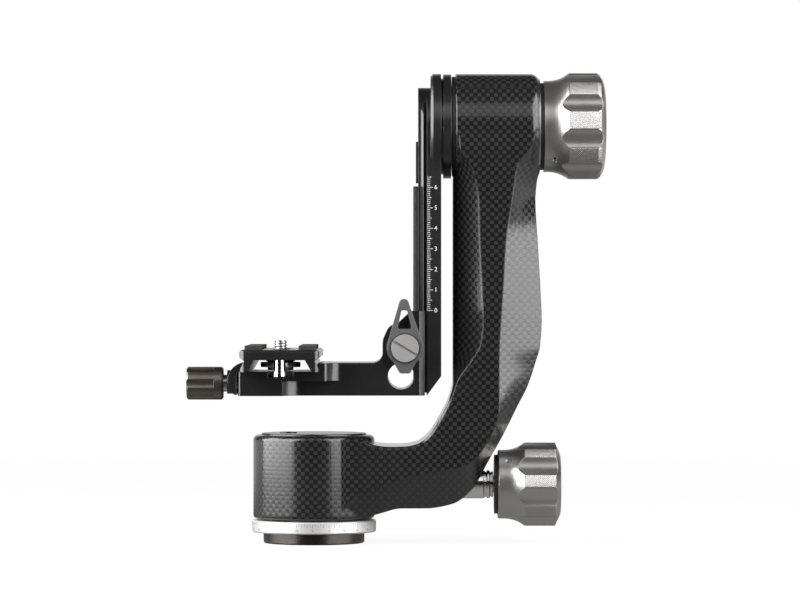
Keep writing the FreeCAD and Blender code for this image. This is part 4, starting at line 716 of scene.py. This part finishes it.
@dataclass
class Knurl(Assembly):
    """Diamond knurl on the lands of one lobed knob."""

    name: str = "tilt_knob_knurl"
    body: str = "tilt_lock"
    slot: str = "knob_silver"
    finish: Finish = Finish.KNOB
    axis_z: float = 204.5
    outline: tuple[tuple[float, float], ...] = ((124.9, 25.9), (139.0, 25.9), (140.4, 24.9),
                                                (140.9, 24.2))
    lobes: int = 9
    land: float = 19.0
    turn: float = 15.5
    pitch: float = 0.5
    height: float = 0.32
    sunk: float = 0.1

    def build(self) -> None:
        """Knurl one land and copy it round the knob."""
        land = self.knurled_land()
        turns = []
        for index in range(self.lobes):
            angle = math.radians(self.turn + index * 360 / self.lobes)
            turns.append(Matrix.Translation((0, 0, self.axis_z * MM))
                         @ Matrix.Rotation(angle - math.pi / 2, 4, "X"))
        lands = Bench.repeat(land, turns)
        bpy.data.objects.remove(land)
        self.place(Bench.joined(self.name, lands), self.finish, self.body, self.slot)

    def knurled_land(self) -> bpy.types.Object:
        """Curved grid whose crossings rise to points, centred on top of the X axis."""
        Bench.clear()
        length = self.outline[-1][0] - self.outline[0][0]
        arc = math.radians(self.land) * self.outline[0][1]
        columns, rows = round(length / self.pitch), round(arc / self.pitch)
        bpy.ops.mesh.primitive_grid_add(x_subdivisions=columns, y_subdivisions=rows, size=1.0,
                                        location=(0, 0, 0))
        land = bpy.context.object
        bpy.ops.object.mode_set(mode="EDIT")
        bpy.ops.mesh.select_all(action="SELECT")
        bpy.ops.transform.resize(value=(length * MM, arc * MM, 1))
        bpy.ops.mesh.poke()
        bpy.ops.mesh.select_all(action="SELECT")
        bpy.ops.object.mode_set(mode="OBJECT")
        self.roll(land.data, columns, rows)
        return land

    def rise(self, index: int, columns: int, rows: int) -> float:
        """Height of one of the grid's vertices over the knob, in millimetres.

        Args:
            index: Number of the vertex. The poked centres come after the crossings.
            columns: Cells along the knob.
            rows: Cells round the land.

        Returns:
            The height, negative at the rim, which lies under the knob's surface.
        """
        row, column = divmod(index, columns + 1)
        if row > rows:
            return self.height * 0.4
        if row in (0, rows) or column in (0, columns):
            return -self.sunk
        return self.height if (row + column) % 2 == 0 else 0.0

    def reach_at(self, x: float) -> float:
        """Radius of the knob at a place on X, in millimetres."""
        for (x0, r0), (x1, r1) in zip(self.outline, self.outline[1:]):
            if x <= x1:
                break
        return r0 + (r1 - r0) * (x - x0) / (x1 - x0)

    def roll(self, mesh: bpy.types.Mesh, columns: int, rows: int) -> None:
        """Wrap the flat grid round the knob and raise its crossings."""
        middle = (self.outline[0][0] + self.outline[-1][0]) / 2
        for vertex in mesh.vertices:
            x = middle + vertex.co.x / MM
            reach = (self.reach_at(x) + self.rise(vertex.index, columns, rows)) * MM
            angle = vertex.co.y / (self.outline[0][1] * MM)
            vertex.co = Vector((x * MM, reach * math.sin(angle), reach * math.cos(angle)))
        mesh.update()


@dataclass
class CameraScrew(Assembly):
    """Captive camera screw: hub, head, relieved shank and a real thread."""

    centre: tuple[float, float] = (-15.6, -28.0)
    head_radius: float = 9.7
    hub_radius: float = 6.3
    shank_radius: float = 2.4
    major_radius: float = 3.175
    thread_depth: float = 0.6
    pitch: float = 1.27
    levels: tuple[float, ...] = (85.3, 86.7, 89.2, 89.5, 95.5, 99.8)
    rings_per_turn: int = 6

    def build(self) -> None:
        """Make the screw in place of its solid."""
        foot, head, head_top, hub_top, thread, tip = self.levels
        low = Vector((*self.centre, 0.0))
        stem = Bench.turned("camera_screw_stem", [
            (0, foot), (self.hub_radius - 0.3, foot), (self.hub_radius, foot + 0.3),
            (self.hub_radius, head), (self.head_radius - 0.3, head),
            (self.head_radius, head + 0.3), (self.head_radius, head_top - 0.3),
            (self.head_radius - 0.3, head_top), (self.hub_radius, head_top),
            (self.hub_radius, hub_top), (self.shank_radius, hub_top),
            (self.shank_radius, thread), (0, thread)], low)
        rings = round((tip - thread) / self.pitch * self.rings_per_turn)
        outline = [(0, thread)]
        outline += [(self.major_radius, thread + (tip - thread) * index / rings)
                    for index in range(rings + 1)]
        outline.append((0, tip))
        screw = Bench.turned("camera_screw_tip", outline, low, segments=40)
        self.cut_thread(screw.data, thread, tip)
        whole = Bench.joined("camera_screw_dressed", [stem, screw])
        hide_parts("camera_screw")
        self.place(whole, Finish.STEEL, "thumb_screw", "steel")

    def cut_thread(self, mesh: bpy.types.Mesh, start: float, end: float) -> None:
        """Draw the plain tip in along a helix, and taper its first turn."""
        for vertex in mesh.vertices:
            x, y, z = (value / MM for value in vertex.co)
            across, along = x - self.centre[0], y - self.centre[1]
            reach = math.hypot(across, along)
            if reach < 1:
                continue
            phase = ((z - start) / self.pitch - math.atan2(along, across) / math.tau) % 1.0
            valley = abs(2 * phase - 1)
            taper = max(0.0, 1 - (end - z) / 0.5) * 0.5
            radius = self.major_radius - self.thread_depth * valley - taper
            vertex.co.x = (self.centre[0] + across * radius / reach) * MM
            vertex.co.y = (self.centre[1] + along * radius / reach) * MM
        mesh.update()


@dataclass
class LockTube(Assembly):
    """Polished tube of the pan lock, with the rings at its outer end."""

    height: float = 28.65
    start: float = 20.5
    pad_end: float = 27.0
    pad_bore: float = 6.05
    bore: float = 4.1

    def build(self) -> None:
        """Make the tube in place of its solid."""
        tube = Bench.turned("pan_lock_tube_dressed", [
            (self.pad_bore, self.start), (7.0, self.start), (7.0, 83.2), (6.75, 83.5),
            (6.75, 84.0), (6.2, 84.1), (6.2, 84.8), (6.75, 84.9), (6.9, 85.1), (6.9, 86.1),
            (6.6, 86.4), (6.0, 86.5), (6.0, 87.0), (6.4, 87.1), (6.4, 87.7), (6.1, 88.0),
            (self.bore, 88.0), (self.bore, self.pad_end), (self.pad_bore, self.pad_end),
            (self.pad_bore, self.start)], Vector((0, 0, self.height)), Axis.X, 96)
        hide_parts("pan_lock_tube")
        self.place(tube, Finish.NICKEL, "arm", "black_anodised")


@dataclass
class Studio:
    """Camera, floor, world and lamps."""

    camera_place: tuple[float, float, float] = (42.3, -2000.0, 119.2)
    lens: float = 183.0
    sensor: float = 36.0
    view_depth: float = 50.0
    floor_size: float = 6.0
    near_mm: float = 260.0
    fade_mm: float = 900.0

    def build(self) -> None:
        """Set the studio up."""
        bpy.context.scene.view_settings.view_transform = "Standard"
        self.camera()
        self.floor()
        self.world()
        self.lamp("left_bank", -74, 22, 0.85, (1.3, 1.0), 24.0)
        self.lamp("right_bank", 62, 22, 0.85, (1.15, 1.0), 14.5)
        self.lamp("front_bank", -4, 38, 1.1, (0.9, 0.55), 0.9)

    def camera(self) -> None:
        """Level camera at the photograph's place."""
        data = bpy.data.cameras.new("camera")
        data.lens = self.lens
        data.sensor_width = self.sensor
        data.sensor_fit = "HORIZONTAL"
        data.clip_end = self.view_depth
        camera = bpy.data.objects.new("camera", data)
        camera.location = Vector(self.camera_place) * MM
        camera.rotation_euler = (math.pi / 2, 0, 0)
        bpy.context.scene.collection.objects.link(camera)
        bpy.context.scene.camera = camera

    def floor(self) -> None:
        """Pale floor that keeps a soft shadow, and shows painted shade to bounced and reflected
        light.
        """
        Bench.clear()
        bpy.ops.mesh.primitive_plane_add(size=self.floor_size, location=(0, 0, 0))
        floor = bpy.context.object
        floor.name = "floor"
        shader = Shader("floor_paper")
        seen = shader.add("ShaderNodeLightPath").outputs["Is Camera Ray"]
        gloss = self.gloss(shader)
        x, y, _ = shader.place()
        reach = (x * x + y * y) ** 0.5
        distance = (reach - self.near_mm) / self.fade_mm
        far = shader.maths("MINIMUM", shader.maths("MAXIMUM", distance, 0.0), 1.0)
        # Painted shade: to bounced light the paper shows 0.16 and to reflections 0.06, far darker
        # than the 0.88 that the camera sees.
        painted_light_tone = gloss.choose(0.16, 0.06)
        shown = Value(shader, seen).choose(painted_light_tone, 0.88)
        behind = shader.maths("MINIMUM", shader.maths("MAXIMUM", y / 500.0 - 0.4, 0.0), 1.0)
        beside = shader.maths("MAXIMUM", abs(x) / reach * 2.0 - 1.0, 0.0)
        paper = shader.add("ShaderNodeBsdfDiffuse", inputs={
            "Color": shader.tint(shown, (0.0, 0.0, 0.0), (1.0, 1.0, 1.0))})
        glow = shader.add("ShaderNodeEmission", inputs={"Color": (1.0, 1.0, 1.0, 1.0)})
        amount = Value(shader, seen) * far.choose(0.92, 1.0) + gloss * (behind * 0.6 + beside * 0.3)
        mixed = shader.add("ShaderNodeMixShader", inputs={0: amount, 1: paper.outputs[0],
                                                          2: glow.outputs[0]})
        shader.add("ShaderNodeOutputMaterial", inputs={"Surface": mixed.outputs[0]})
        floor.data.materials.append(shader.material)

    @staticmethod
    def gloss(shader: Shader) -> Value:
        """1 for what gloss and glass show."""
        paths = shader.add("ShaderNodeLightPath").outputs
        return shader.maths("MAXIMUM", Value(shader, paths["Is Glossy Ray"]),
                            Value(shader, paths["Is Transmission Ray"]))

    def world(self) -> None:
        """White to the camera, white behind the head to gloss, dim from the front."""
        shader = Shader("studio", world=True)
        bpy.context.scene.world = shader.material
        direction = shader.add("ShaderNodeTexCoord").outputs["Generated"]
        parts = shader.add("ShaderNodeSeparateXYZ", inputs={0: direction}).outputs
        depth = shader.maths("MAXIMUM", Value(shader, parts[1]), 0.0)
        grazing = shader.maths("MAXIMUM", depth * 5.0 - 4.0, 0.0)
        seen = Value(shader, shader.add("ShaderNodeLightPath").outputs["Is Camera Ray"])
        light = self.gloss(shader).choose(0.03 + depth * 0.3, 0.015 + grazing * 0.9)
        level = seen.choose(light, 1.0)
        background = shader.add("ShaderNodeBackground",
                                inputs={"Color": (1.0, 1.0, 1.0, 1.0), "Strength": level})
        shader.add("ShaderNodeOutputWorld", inputs={"Surface": background.outputs[0]})

    @staticmethod
    def lamp(name: str, azimuth: float, elevation: float, reach: float,
             size: tuple[float, float], power: float) -> None:
        """Soft box that points at the head's middle.

        Args:
            name: Name of the lamp.
            azimuth: Degrees from the camera's side, positive to the right.
            elevation: Degrees above the head's middle.
            reach: Distance in metres.
            size: Width and height in metres.
            power: Watts.
        """
        data = bpy.data.lights.new(name, "AREA")
        data.shape = "RECTANGLE"
        data.size, data.size_y = size
        data.energy = power
        lamp = bpy.data.objects.new(name, data)
        turn, lift = math.radians(azimuth), math.radians(elevation)
        away = Vector((math.sin(turn) * math.cos(lift), -math.cos(turn) * math.cos(lift),
                       math.sin(lift)))
        lamp.location = Vector((0.04, 0.0, 0.12)) + away * reach
        lamp.rotation_euler = away.to_track_quat("Z", "Y").to_euler()
        bpy.context.scene.collection.objects.link(lamp)


def dress_nodes(paint: Paintbox) -> None:
    """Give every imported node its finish."""
    for finish, names in NODE_FINISHES.items():
        for name in names:
            paint.dress(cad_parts[name], finish)
    plain = set(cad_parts) - {name for names in NODE_FINISHES.values() for name in names}
    if plain:
        LOG.warning("no finish for %s", sorted(plain))


def main() -> None:
    """Build the studio and every sub-assembly in order."""
    logging.basicConfig(level=logging.INFO, format="%(message)s")
    paint = Paintbox()
    Studio().build()
    dress_nodes(paint)
    PanScale(paint).build()
    LockTube(paint).build()
    CameraScrew(paint).build()
    HeightScale(paint).build()
    Knurl(paint).build()
    Knurl(paint, name="pan_knob_knurl", body="pan_lock", finish=Finish.PAN_KNOB, axis_z=28.65,
          outline=((103.1, 20.2), (118.4, 20.2), (119.2, 18.7)), lobes=8, land=17.5,
          turn=38.5).build()


if __name__ == "__main__":
    main()
